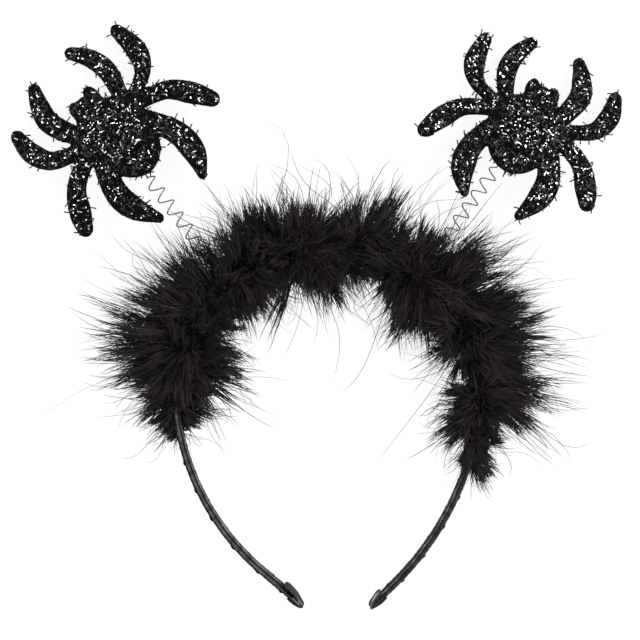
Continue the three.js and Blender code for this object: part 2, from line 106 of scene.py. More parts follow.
def add_node(
    tree: bpy.types.NodeTree,
    kind: str,
    settings: dict[Any, Any] | None = None,
    links: dict[Any, bpy.types.NodeSocket] | None = None,
) -> bpy.types.Node:
    """Add a node with its settings and links.

    Args:
        tree: The node tree that takes the node.
        kind: Blender's name for the kind of node.
        settings: Values by input socket (name or place) or by the node's own property.
        links: Output sockets by the input socket that they feed.

    Returns:
        The new node.
    """
    node = tree.nodes.new(kind)
    for key, value in (settings or {}).items():
        if isinstance(key, int) or key in node.inputs:
            node.inputs[key].default_value = value
        else:
            setattr(node, key, value)
    for key, source in (links or {}).items():
        tree.links.new(source, node.inputs[key])
    return node


def new_material(name: str) -> tuple[bpy.types.Material, bpy.types.NodeTree]:
    """Make an empty node material.

    Args:
        name: The material's name.

    Returns:
        The material and its cleared node tree.
    """
    material = bpy.data.materials.new(name)
    material.use_nodes = True
    material.node_tree.nodes.clear()
    return material, material.node_tree


def bell(values: Array, middle: Array | float, width: float) -> Array:
    """A smooth bump over the values, one high at its middle."""
    return np.exp(-(((values - middle) / width) ** 2))


def drift(places: Array, rate: float, sway: float, slow: float) -> Array:
    """A wave along some places whose beat wanders, so that it never looks regular."""
    return np.sin(rate * places + sway * np.sin(slow * places))


def unit(vectors: Array) -> Array:
    """Scale each vector to length one."""
    return vectors / np.linalg.norm(vectors, axis=-1, keepdims=True)


def above_floor(points: Array, clear: Array | float) -> Array:
    """Raise the points that lie lower than a clear height above the floor.

    Args:
        points: Places in the part's frame.
        clear: The least height, one for all or one for each.

    Returns:
        The places, none of them too low.
    """
    raised = points.copy()
    raised[..., 2] = np.maximum(points[..., 2], clear)
    return raised


def grid_quads(rows: int, columns: int) -> Array:
    """Number the faces of a run of rings stored ring by ring.

    Args:
        rows: How many rings of points.
        columns: How many points in a ring.

    Returns:
        Four vertex numbers a row.
    """
    row, column = np.meshgrid(np.arange(rows - 1), np.arange(columns), indexing="ij")
    a = row * columns + column
    b = row * columns + (column + 1) % columns
    return np.stack([a, b, b + columns, a + columns], axis=-1).reshape(-1, 4)


def capped(rings: Array) -> Array:
    """Close a run of rings by drawing each end together at its middle.

    Args:
        rings: Ring, point and place.

    Returns:
        The rings with one more at each end.
    """
    count = rings.shape[1]
    first = np.repeat(rings[:1].mean(1, keepdims=True), count, 1)
    last = np.repeat(rings[-1:].mean(1, keepdims=True), count, 1)
    return np.concatenate([first, rings, last])


def mesh_piece(
    name: str,
    vertices: Array,
    quads: Array,
    triangles: Array | None = None,
    smooth: bool = True,
) -> bpy.types.Object:
    """Make a mesh object from arrays.

    Args:
        name: The object's name.
        vertices: Points in millimetres, one row each.
        quads: Four vertex numbers a row.
        triangles: Three vertex numbers a row.
        smooth: Whether faces are shaded smooth.

    Returns:
        The object, linked to the scene.
    """
    four = np.asarray(quads).reshape(-1, 4)
    three = np.empty((0, 3), int) if triangles is None else np.asarray(triangles).reshape(-1, 3)
    corners = np.concatenate([four.ravel(), three.ravel()]).astype(np.int32)
    counts = np.concatenate([np.full(len(four), 4), np.full(len(three), 3)])
    starts = (np.cumsum(counts) - counts).astype(np.int32)
    mesh = bpy.data.meshes.new(name)
    mesh.vertices.add(len(vertices))
    mesh.vertices.foreach_set("co", (np.asarray(vertices) * MM).astype(np.float32).ravel())
    mesh.loops.add(len(corners))
    mesh.loops.foreach_set("vertex_index", corners)
    mesh.polygons.add(len(counts))
    mesh.polygons.foreach_set("loop_start", starts)
    mesh.polygons.foreach_set("use_smooth", np.full(len(counts), smooth))
    mesh.update(calc_edges=True)
    piece = bpy.data.objects.new(name, mesh)
    bpy.context.scene.collection.objects.link(piece)
    return piece


def mesh_points(mesh: bpy.types.Mesh) -> Array:
    """Read a mesh's vertices.

    Args:
        mesh: The mesh, in metres.

    Returns:
        Its points in millimetres, one row each.
    """
    places = np.empty(len(mesh.vertices) * 3, np.float32)
    mesh.vertices.foreach_get("co", places)
    return places.reshape(-1, 3).astype(float) / MM


def settle(
    piece: bpy.types.Object,
    material: bpy.types.Material,
    nodes: tuple[str, ...] = (),
) -> bpy.types.Object:
    """Give a finished piece its material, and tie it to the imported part.

    Args:
        piece: The piece, in place.
        material: What it is made of.
        nodes: The CAD nodes that it stands for.

    Returns:
        The same piece.
    """
    piece.data.materials.clear()
    piece.data.materials.append(material)
    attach(piece, "root")
    if nodes:
        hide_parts(*nodes)
    triangles = len(piece.data.loops) - 2 * len(piece.data.polygons)
    LOG.info("%s: %d triangles", piece.name, triangles)
    return piece


def tube(points: Array, normals: Array, radius: float, sides: int) -> tuple[Array, Array]:
    """Sweep a round section along a line of points.

    Args:
        points: The middle line.
        normals: A vector at each point that isn't along the line.
        radius: The section's radius.
        sides: How many corners the section has.

    Returns:
        Vertices and quads, the two ends closed.
    """
    along = unit(np.gradient(points, axis=0))
    across = unit(np.cross(along, normals))
    up = np.cross(across, along)
    angles = 2 * np.pi * np.arange(sides) / sides
    ring = np.cos(angles)[:, None, None] * up + np.sin(angles)[:, None, None] * across
    closed = capped(points[:, None, :] + radius * ring.transpose(1, 0, 2))
    return closed.reshape(-1, 3), grid_quads(len(closed), sides)


def strand_piece(name: str, points: Array, radii: Array, turns: Array) -> bpy.types.Object:
    """Join many tapering three-sided strands, each drawn out to a point, into one mesh.

    Args:
        name: The object's name.
        points: Strand, knot and place.
        radii: Strand and knot.
        turns: How far each strand's section is turned about it.

    Returns:
        The joined object.
    """
    count, knots, _ = points.shape
    axis = unit(points[:, -1] - points[:, 0])
    helper = np.where(np.abs(axis[:, 2:]) < 0.9, [[0.0, 0.0, 1.0]], [[1.0, 0.0, 0.0]])
    first = unit(np.cross(axis, helper))
    second = np.cross(axis, first)
    angles = turns[:, None] + 2 * np.pi * np.arange(3) / 3
    ring = np.cos(angles)[..., None] * first[:, None] + np.sin(angles)[..., None] * second[:, None]
    body = points[:, :-1, None] + radii[:, :-1, None, None] * ring[:, None]
    each = np.concatenate([body.reshape(count, -1, 3), points[:, -1:]], axis=1)
    stride = each.shape[1]
    end = 3 * (knots - 2)
    tip = stride - 1
    sides = grid_quads(knots - 1, 3)
    caps = np.array([[end, end + 1, tip], [end + 1, end + 2, tip], [end + 2, end, tip], [0, 2, 1]])
    shift = stride * np.arange(count)[:, None, None]
    return mesh_piece(name, each.reshape(-1, 3), sides[None] + shift, caps[None] + shift)


# How far a sliver keeps off the floor
SLIVER_CLEAR = 0.2


def plate_piece(
    name: str, middles: Array, ways: Array, faces: Array, sizes: Array
) -> bpy.types.Object:
    """Join many thin flat slivers into one mesh, none of them in the floor.

    Args:
        name: The object's name.
        middles: The middle of each sliver.
        ways: The direction of each sliver's length, one long.
        faces: The direction that each sliver faces.
        sizes: Length, width and thickness of each.

    Returns:
        The joined object.
    """
    spots = above_floor(middles, SLIVER_CLEAR + sizes[:, 0] / 2 * np.abs(ways[:, 2]))
    long = unit(ways)
    wide = unit(np.cross(faces, long))
    thick = np.cross(long, wide)
    signs = np.array([[x, y, z] for z in (-1, 1) for y in (-1, 1) for x in (-1, 1)]) / 2
    scaled = signs[None] * sizes[:, None]
    corners = spots[:, None] + scaled[..., :1] * long[:, None] + scaled[..., 1:2] * wide[:, None]
    corners = corners + scaled[..., 2:] * thick[:, None]
    box = np.array(
        [[0, 2, 3, 1], [4, 5, 7, 6], [0, 1, 5, 4], [2, 6, 7, 3], [0, 4, 6, 2], [1, 3, 7, 5]]
    )
    shift = 8 * np.arange(len(spots))[:, None, None]
    return mesh_piece(name, corners.reshape(-1, 3), box[None] + shift, smooth=False)


# How many millimetres of ribbon there are to a unit of its measure
RIBBON_UNIT = 10


def lay_ribbon(piece: bpy.types.Object, measure: Array, tones: Array) -> None:
    """Lay the ribbon's own measure and its tone over a piece.

    Args:
        piece: A piece of ribbon.
        measure: Distances along and across the ribbon, at each corner of each face.
        tones: How light the cloth is at each vertex, from 0 to 1, with painted shade and painted
            highlights in it.
    """
    layer = piece.data.uv_layers.new(name="ribbon")
    layer.data.foreach_set("uv", (measure / RIBBON_UNIT).astype(np.float32).ravel())
    tone = piece.data.attributes.new("tone", "FLOAT", "POINT")
    tone.data.foreach_set("value", tones.astype(np.float32).ravel())


def corner_numbers(piece: bpy.types.Object) -> Array:
    """Read which vertex each corner of each face uses.

    Args:
        piece: The piece.

    Returns:
        The vertex numbers, face after face.
    """
    numbers = np.empty(len(piece.data.loops), np.int32)
    piece.data.loops.foreach_get("vertex_index", numbers)
    return numbers


@dataclass(frozen=True)
class SatinRibbon:
    """Polyester ribbon, woven with fine crosswise ribs: a dark cloth with a soft broad gloss.

    Ribs are about 0.35 mm apart, drawn at 0.8 mm so that they show.
    """

    # The tone mixes from a painted shade, darkest in the folds, to a painted gleam; an open face lies
    # between
    painted_fold_shade: str = "#050405"
    painted_gleam_shade: str = "#b4b1b0"
    roughness: float = 0.5
    ior: float = 1.5
    gloss: float = 0.03
    rib_mm: float = 0.8
    rib_depth: float = 0.8
    rib_waver: float = 2.5
    relief_mm: float = 0.2
    relief_strength: float = 0.5

    def material(self) -> bpy.types.Material:
        """Make the ribbon's material, with painted shade in its folds and a painted gleam on its faces.

        Returns:
            The material.
        """
        material, tree = new_material("satin_ribbon")
        place = add_node(tree, "ShaderNodeUVMap", {"uv_map": "ribbon"})
        # At a scale of pi there is a rib to a millimetre of the ribbon's measure
        ribs = add_node(
            tree,
            "ShaderNodeTexWave",
            {
                "Scale": math.pi / self.rib_mm,
                "Distortion": self.rib_waver,
                "Detail": 2.0,
                "Detail Scale": 1.5,
            },
            {"Vector": place.outputs[0]},
        )
        weave = add_node(
            tree,
            "ShaderNodeMapRange",
            {"To Min": 1 - self.rib_depth, "To Max": 1.0},
            {"Value": ribs.outputs["Fac"]},
        )
        # The tone holds the cloth's own unevenness together with painted shade and painted highlights
        tone = add_node(tree, "ShaderNodeAttribute", {"attribute_name": "tone"})
        lit = add_node(
            tree,
            "ShaderNodeMath",
            {"operation": "MULTIPLY"},
            {0: weave.outputs[0], 1: tone.outputs["Fac"]},
        )
        shade = add_node(
            tree,
            "ShaderNodeMix",
            {"data_type": "RGBA", 6: linear_colour(self.painted_fold_shade), 7: linear_colour(self.painted_gleam_shade)},
            {0: lit.outputs[0]},
        )
        bump = add_node(
            tree,
            "ShaderNodeBump",
            {"Strength": self.relief_strength, "Distance": self.relief_mm * MM},
            {"Height": ribs.outputs["Fac"]},
        )
        shader = add_node(
            tree,
            "ShaderNodeBsdfPrincipled",
            {"Roughness": self.roughness, "IOR": self.ior, "Specular IOR Level": self.gloss},
            {"Base Color": shade.outputs[2], "Normal": bump.outputs[0]},
        )
        add_node(tree, "ShaderNodeOutputMaterial", links={"Surface": shader.outputs[0]})
        return material


@dataclass(frozen=True)
class PatchyFinish:
    """A finish in patches of two shades, as uneven as the real material is.

    The layers say how many times over finer patches lie in a patch, and the relief is how deep the
    grain is that follows the patches. A metal keeps the usual index of refraction.
    """

    name: str
    shades: tuple[str, str]
    gloss: float
    roughness: float
    patch_mm: float
    layers: float
    metallic: float = 0.0
    ior: float = 1.5
    relief_mm: float = 0.0
    relief_strength: float = 0.6
    patch_roughness: float = 0.6
    patch_edges: tuple[float, float] = (0.3, 0.7)

    def material(self) -> bpy.types.Material:
        """Make the finish's material.

        Returns:
            The material.
        """
        material, tree = new_material(self.name)
        place = add_node(tree, "ShaderNodeTexCoord")
        patches = add_node(
            tree,
            "ShaderNodeTexNoise",
            {"Scale": 1 / (self.patch_mm * MM), "Detail": self.layers, "Roughness": self.patch_roughness},
            {"Vector": place.outputs["Object"]},
        )
        spread = add_node(
            tree,
            "ShaderNodeMapRange",
            {"From Min": self.patch_edges[0], "From Max": self.patch_edges[1]},
            {"Value": patches.outputs["Fac"]},
        )
        colour = add_node(
            tree,
            "ShaderNodeMix",
            {"data_type": "RGBA", 6: linear_colour(self.shades[0]), 7: linear_colour(self.shades[1])},
            {0: spread.outputs[0]},
        )
        settings = {"Roughness": self.roughness, "Specular IOR Level": self.gloss}
        if self.metallic:
            settings["Metallic"] = self.metallic
        else:
            settings["IOR"] = self.ior
        links = {"Base Color": colour.outputs[2]}
        if self.relief_mm:
            bump = add_node(
                tree,
                "ShaderNodeBump",
                {"Strength": self.relief_strength, "Distance": self.relief_mm * MM},
                {"Height": patches.outputs["Fac"]},
            )
            links["Normal"] = bump.outputs[0]
        shader = add_node(tree, "ShaderNodeBsdfPrincipled", settings, links)
        add_node(tree, "ShaderNodeOutputMaterial", links={"Surface": shader.outputs[0]})
        return material


@dataclass(frozen=True)
class MarabouDown(PatchyFinish):
    """Dyed marabou down: soft matt barbs, black with a warm cast where the dye is thin.

    A patch of warmer dye is a plume or so wide.
    """

    roughness: float = 0.6
    patch_mm: float = 11.0
    layers: float = 3.0


@dataclass(frozen=True)
class SpringSteel(PatchyFinish):
    """Drawn steel spring wire, bare: a grey metal, uneven along fine draw marks."""

    name: str = "spring_steel"
    shades: tuple[str, str] = ("#3a3a3c", "#626265")
    gloss: float = 0.5
    roughness: float = 0.32
    patch_mm: float = 1.2
    layers: float = 2.0
    metallic: float = 1.0


@dataclass(frozen=True)
class CraftFoam(PatchyFinish):
    """EVA craft foam, die cut: a dull black sheet with a fine closed-cell grain.

    The cells are about 0.2 mm, drawn at 0.9 mm so that they show.
    """

    name: str = "craft_foam"
    shades: tuple[str, str] = ("#020202", "#070707")
    gloss: float = 0.02
    roughness: float = 0.7
    patch_mm: float = 0.9
    layers: float = 3.0
    ior: float = 1.48
    relief_mm: float = 0.3


@dataclass(frozen=True)
class TinselFilm(PatchyFinish):
    """Chopped polyester film: flat black slivers, and bright metal ones that stand in for its glints.

    A patch is about as wide as a sliver is long, so that slivers differ a little in tone.
    """

    patch_mm: float = 2.0
    layers: float = 1.0


DOWN_BARBS = MarabouDown("marabou_down", ("#0a080a", "#241e22"), gloss=0.1)
# Paler hairs on top stand in for strands that catch the light: a painted highlight
DOWN_STRAYS = MarabouDown("marabou_strays", ("#1c1717", "#4a3f3e"), gloss=0.5)
# The core is darker and without gloss: painted shade deep inside the trim
DOWN_CORE = MarabouDown("marabou_core_shade", ("#050405", "#0e0b0c"), gloss=0.0)
BLACK_TINSEL = TinselFilm("black_tinsel", ("#020202", "#060606"), gloss=0.2, roughness=0.16)
# Bright metal slivers stand in for the glints of the black film: painted glints, though as metal they
# still reflect the lights
GLINT_TINSEL = TinselFilm(
    "glint_tinsel", ("#77777a", "#fafafa"), gloss=0.5, roughness=0.14, metallic=1.0
)


@dataclass(frozen=True)
class Leg:
    """One leg of the hoop: an arc that leaves the arch, and a straight run to the end."""

    radius: float
    arc: float
    straight: float


@dataclass
class Hoop:
    """The band's middle line: a round crown that runs on into two flatter legs.

    It is drawn in its own plane and leans up from the ends, on the floor, to the crown.
    """

    arch_radius: float = 60.8
    arch_end_below: float = math.radians(9)
    end_depth: float = -82.4
    ends: dict[Side, float] = field(default_factory=lambda: {Side.LEFT: -11.2, Side.RIGHT: 18.2})
    straights: dict[Side, float] = field(default_factory=lambda: {Side.LEFT: 20.0, Side.RIGHT: 4.0})
    leg_rounds: int = 60
    crown_height: float = 13.0
    end_height: float = 4.0
    top_above_centre: float = 61.94
    flare: float = math.radians(5)

    def __post_init__(self) -> None:
        """Work out the lean, the legs and where the arch's centre lies in the part's frame."""
        rise = self.crown_height - self.end_height
        self.lean = math.asin(rise / (self.arch_radius - self.end_depth))
        self.half_arch = self.arch_radius * (math.pi / 2 + self.arch_end_below)
        self.legs = {side: self._leg(side) for side in Side}
        low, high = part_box("band")
        self.centre = np.array(
            [
                (low.x + high.x) / 2 / MM,
                high.y / MM - self.top_above_centre,
                self.crown_height - self.arch_radius * math.sin(self.lean),
            ]
        )

    def _leg(self, side: Side) -> Leg:
        """Find the arc that leaves the arch without a kink and runs straight on to the end.

        Args:
            side: Which leg.

        Returns:
            The leg's arc and straight run.
        """
        below, sign, straight = self.arch_end_below, side.value, self.straights[side]
        start = self.arch_radius * np.array([sign * math.cos(below), -math.sin(below)])
        tip = np.array([self.ends[side], self.end_depth])
        turned, radius = below, self.arch_radius
        for _ in range(self.leg_rounds):
            way = np.array([-sign * math.sin(turned), -math.cos(turned)])
            chord = tip - straight * way - start
            half_turn = math.atan2(-sign * chord[0], -chord[1]) - below
            turned = below + 2 * half_turn
            radius = float(np.hypot(*chord)) / (2 * math.sin(half_turn))
        return Leg(radius, (turned - below) * radius, straight)

    def last_station(self, side: Side) -> float:
        """The distance along the band from the crown to one end, positive to the right."""
        return side.value * (self.half_arch + self.legs[side].arc + self.legs[side].straight)

    def at(self, stations: Array) -> tuple[Array, Array]:
        """Find places on the middle line, in the hoop's plane.

        Args:
            stations: Distances along it from the crown, positive to the right.

        Returns:
            The places and the directions out of the hoop, three numbers each.
        """
        left, right = self.legs[Side.LEFT], self.legs[Side.RIGHT]
        is_left = stations < 0
        side = np.where(is_left, -1.0, 1.0)
        radius = np.where(is_left, left.radius, right.radius)
        past = np.maximum(np.abs(stations) - self.half_arch, 0)
        bent = np.minimum(past, np.where(is_left, left.arc, right.arc))
        below, flat = self.arch_end_below, np.zeros_like(side)
        on_arch = np.abs(stations) / self.arch_radius - math.pi / 2
        turned = np.where(past > 0, below + bent / radius, on_arch)
        out = np.stack([side * np.cos(turned), -np.sin(turned), flat], axis=-1)
        along = np.stack([-side * np.sin(turned), -np.cos(turned), flat], axis=-1)
        start_out = np.stack([side * math.cos(below), flat - math.sin(below), flat], axis=-1)
        on_leg = start_out * (self.arch_radius - radius)[:, None] + out * radius[:, None]
        on_leg = on_leg + along * (past - bent)[:, None]
        return np.where((past > 0)[:, None], on_leg, out * self.arch_radius), out

    def section_axes(self, out: Array) -> tuple[Array, Array]:
        """Turn the band's section by its flare.

        Args:
            out: Directions out of the hoop.

        Returns:
            The section's own outward and forward directions.
        """
        cos, sin = math.cos(self.flare), math.sin(self.flare)
        return cos * out - sin * FRONT, sin * out + cos * FRONT

    def to_part(self, points: Array) -> Array:
        """Carry points from the hoop's plane into the part's frame.

        Args:
            points: Places in the hoop's plane.

        Returns:
            The same places in the part's frame, in millimetres.
        """
        cos, sin = math.cos(self.lean), math.sin(self.lean)
        x, y, z = points[..., 0], points[..., 1], points[..., 2]
        return np.stack([x, y * cos - z * sin, y * sin + z * cos], axis=-1) + self.centre


# The tone of an open face of the ribbon; painted shade in a fold is darker, and a painted gleam lighter
FACE_TONE = 0.22

# The wrapped band's section, anticlockwise from its outer back edge: distance out of the hoop,
# distance to the front, and tone on the left leg and on the right, as a share of an open face's.
# The tones are painted light and shade: dark where an edge turns from the light and along the
# groove, with a painted highlight line, and the two legs differ as the light falls on each.
RIM = (
    (0.9, -2.95, 0.15, 0.15), (1.16, -2.4, 0.2, 0.3), (1.22, -1.2, 0.2, 0.4), (1.24, 0.6, 0.1, 0.5),
    (1.22, 2.0, 0.04, 0.4), (1.14, 2.45, 0.02, 0.34), (0.98, 2.6, 0.02, 0.3), (0.8, 2.65, 0.02, 0.26),
    (0.62, 2.75, 0.02, 0.24), (0.46, 2.85, 0.04, 0.24), (0.32, 2.95, 0.5, 0.22), (0.05, 2.95, 0.56, 0.2),
    (-0.14, 2.88, 0.54, 0.16), (-0.3, 2.8, 0.5, 0.14), (-0.48, 2.7, 0.42, 0.12), (-0.6, 2.6, 0.12, 0.1),
    (-0.68, 2.5, 0.0, 0.1), (-0.82, 2.45, 0.0, 0.35), (-0.94, 2.35, 0.0, 1.3), (-1.04, 2.1, 0.1, 0.5),
    (-1.12, 1.8, 0.7, 0.06), (-1.2, 1.2, 0.8, 0.04), (-1.22, 0.2, 0.6, 0.06), (-1.2, -1.4, 0.3, 0.12),
    (-1.14, -2.4, 0.2, 0.12), (-0.9, -2.95, 0.15, 0.15), (0.0, -3.0, 0.15, 0.15),
)


@dataclass
class RibbonBand:
    """The hoop's stiff strip, wound from end to end in a spiral of ribbon.

    The ribbon goes round once in a pitch, and its lap, knobs and swells are placed by their share of
    a turn. Wrinkles and puckers are counted by the pitch. A painted shade darkens the inner side
    under the turned-over flap by each end, and on the left a painted highlight lies along a crease
    right at the end.
    """

    hoop: Hoop
    step: float = 0.4
    pitch: float = 13.0
    right_start: float = 0.05
    right_stretch: float = 0.0012
    uneven_pitch: float = 0.08
    uneven_rate: float = 1.3
    lap: float = 0.2
    lap_edge: float = 0.03
    lap_height: float = 0.24
    knob_at: float = 0.07
    knob_width: float = 0.055
    knob_height: float = 0.34
    knob_point: int = 5
    swell_after_knob: float = 0.63
    swell_width: float = 0.15
    swell_height: float = 0.4
    drape_height: float = 0.08
    wrinkles: float = 5.3
    wrinkle_height: float = 0.04
    puckers: float = 11.7
    pucker_height: float = 0.03
    outer_from: float = 1.0
    inner_from: float = -0.7
    end_taper: float = 9.0
    end_share: float = 0.6
    floor_clear: float = 0.1
    flap: float = 11.0
    flap_from: tuple[float, float] = (-0.1, -1.1)
    flap_shade: float = 0.1
    broad_tone: float = 0.35
    narrow_tone: float = 0.25
    gleam_tone: float = 0.7
    crease: float = 4.0
    crease_at: float = -0.55
    crease_half_width: float = 0.2
    crease_tone: float = 1.6

    def __post_init__(self) -> None:
        """Measure round the section, and find which way it faces at each point."""
        self.rim = np.array(RIM)[:, :2]
        # The section's tones are painted light and shade, one column for each leg
        self.tone = np.array(RIM)[:, 2:]
        steps = np.hypot(*(np.roll(self.rim, -1, axis=0) - self.rim).T)
        self.girth = float(steps.sum())
        self.run = np.cumsum(steps) - steps
        ahead = np.roll(self.rim, -1, axis=0) - np.roll(self.rim, 1, axis=0)
        self.facing = unit(np.stack([ahead[:, 1], -ahead[:, 0]], axis=-1))

    def rise(self, stations: Array) -> Array:
        """How far the wrapping stands off the strip: laps, knobs at their edges and wrinkles.

        Args:
            stations: Distances along the band, one for each row.

        Returns:
            Heights by row and point of the section.
        """
        place = stations[:, None]
        right = place > 0
        along = place / self.pitch + np.where(right, self.right_stretch * place + self.right_start, 0)
        turn = self.run[None] / self.girth
        phase = (along + turn + self.uneven_pitch * np.sin(self.uneven_rate * along)) % 1
        lap = np.clip(1 - phase / self.lap, 0, 1) * np.clip(phase / self.lap_edge, 0, 1)
        outer_edge = (self.rim[:, 0] > self.outer_from) & (self.rim[:, 1] > 0)
        knob = bell(phase, self.knob_at, self.knob_width) * outer_edge[None]
        between = (along + self.run[self.knob_point] / self.girth + self.swell_after_knob) % 1
        inner_edge = (self.rim[:, 0] < self.inner_from) & (self.rim[:, 1] > -1)
        swell = bell(between, 0.5, self.swell_width) * inner_edge[None] * right
        wrinkle = np.sin(2 * np.pi * (self.wrinkles * along - 2 * turn) + 2 * np.sin(3.1 * along))
        pucker = np.sin(2 * np.pi * (self.puckers * along + 3 * turn) + 3 * np.sin(1.7 * along + 1))
        height = self.lap_height * lap + self.knob_height * knob + self.swell_height * swell
        height = height + self.drape_height * np.sin(np.pi * phase)
        return height + self.wrinkle_height * wrinkle + self.pucker_height * pucker

    def build(self, material: bpy.types.Material) -> bpy.types.Object:
        """Make the wrapped band.

        Args:
            material: The ribbon's material.

        Returns:
            The piece that stands for the band.
        """
        low, high = self.hoop.last_station(Side.LEFT), self.hoop.last_station(Side.RIGHT)
        stations = np.linspace(low, high, int((high - low) / self.step))
        point, out = self.hoop.at(stations)
        outward, forward = self.hoop.section_axes(out)
        near_end = np.clip(self._from_end(stations) / self.end_taper, 0, 1)
        taper = self.end_share + (1 - self.end_share) * near_end
        outer = self.rim[:, 0].max()
        rise = self.rise(stations)
        off = outer + (self.rim[None, :, 0] - outer) * taper[:, None] + rise * self.facing[None, :, 0]
        ahead = self.rim[None, :, 1] + rise * self.facing[None, :, 1]
        skin = point[:, None] + off[..., None] * outward[:, None] + ahead[..., None] * forward[:, None]
        closed = capped(skin)
        vertices = above_floor(self.hoop.to_part(closed), self.floor_clear).reshape(-1, 3)
        piece = mesh_piece("ribbon_wrapped_band", vertices, grid_quads(len(closed), len(self.rim)))
        stations = np.concatenate([stations[:1], stations, stations[-1:]])
        lay_ribbon(piece, self._measure(piece, stations), self.tones(stations))
        return settle(piece, material, ("band",))

    def _from_end(self, stations: Array) -> Array:
        """How far each of the stations is from the nearer end of their run."""
        return np.minimum(stations - stations[0], stations[-1] - stations)

    def tones(self, stations: Array) -> Array:
        """How light the ribbon is: uneven along it, with painted shade and highlights, and painted shade
        under the end flaps.

        Args:
            stations: Distances along the band, one for each row.

        Returns:
            Tones by row and point of the section.
        """
        uneven = 1 + self.broad_tone * drift(stations, 0.9, 2, 0.31)
        uneven = uneven + self.narrow_tone * drift(stations, 2.9, 3, 0.47)
        # Painted highlights in spots along the inner side
        gleam = self.gleam_tone * np.clip(drift(stations, 0.53, 1.7, 0.23), 0, 1) ** 4
        inner = self.rim[:, 0] < self.inner_from
        left, out = stations[:, None] < 0, self.rim[None, :, 0]
        # Painted light and shade round the section, by leg
        side = np.where(left, self.tone[None, :, 0], self.tone[None, :, 1])
        tones = side * (uneven[:, None] + gleam[:, None] * inner[None])
        # Painted shade on the inner side under each end flap
        from_end = self._from_end(stations)[:, None]
        in_shade = (from_end > self.crease) & (from_end < self.flap)
        under_flap = in_shade & (out < np.where(left, *self.flap_from))
        # A painted highlight along the crease at the left end
        on_crease = np.abs(out - self.crease_at) < self.crease_half_width
        crease_gleam = left & (from_end < self.crease) & on_crease
        tones = np.where(crease_gleam, self.crease_tone, tones)
        return np.clip(FACE_TONE * np.where(under_flap, self.flap_shade * tones, tones), 0, 1)

    def _measure(self, piece: bpy.types.Object, stations: Array) -> Array:
        """Measure the ribbon along the band and round it.

        Args:
            piece: The band.
            stations: Distances along the band, one for each row.

        Returns:
            The two distances at each corner of each face.
        """
        columns = len(self.rim)
        numbers = corner_numbers(piece)
        row, column = numbers // columns, (numbers % columns).reshape(-1, 4)
        wraps = (column == 0) & (column.max(axis=1, keepdims=True) > 1)
        around = np.where(wraps, self.girth, self.run[column])
        return np.stack([stations[row], around.ravel()], axis=-1)


# Where the middle of the ribbon's end runs as it turns over each end of the band: distance past
# the end, and out of the hoop
FOLD_COURSES = {
    Side.LEFT: (
        (-5.4, 1.3), (-2.6, 1.6), (0.0, 1.5), (1.5, 1.0), (2.05, 0.4), (1.4, -0.25),
        (-0.5, -0.6), (-3.1, -1.55), (-6.0, -2.1), (-8.2, -2.1), (-9.7, -1.7),
    ),
    Side.RIGHT: (
        (-5.8, 1.3), (-2.8, 1.75), (-0.4, 1.75), (1.5, 1.3), (2.3, 0.75), (1.5, 0.0),
        (-0.8, -0.6), (-3.2, -1.35), (-5.5, -1.3),
    ),
}

# How much painted light falls on the inside of each flap, as a share of an open face's tone
FLAP_INSIDE_LIGHT = {Side.LEFT: 0.15, Side.RIGHT: 5.0}


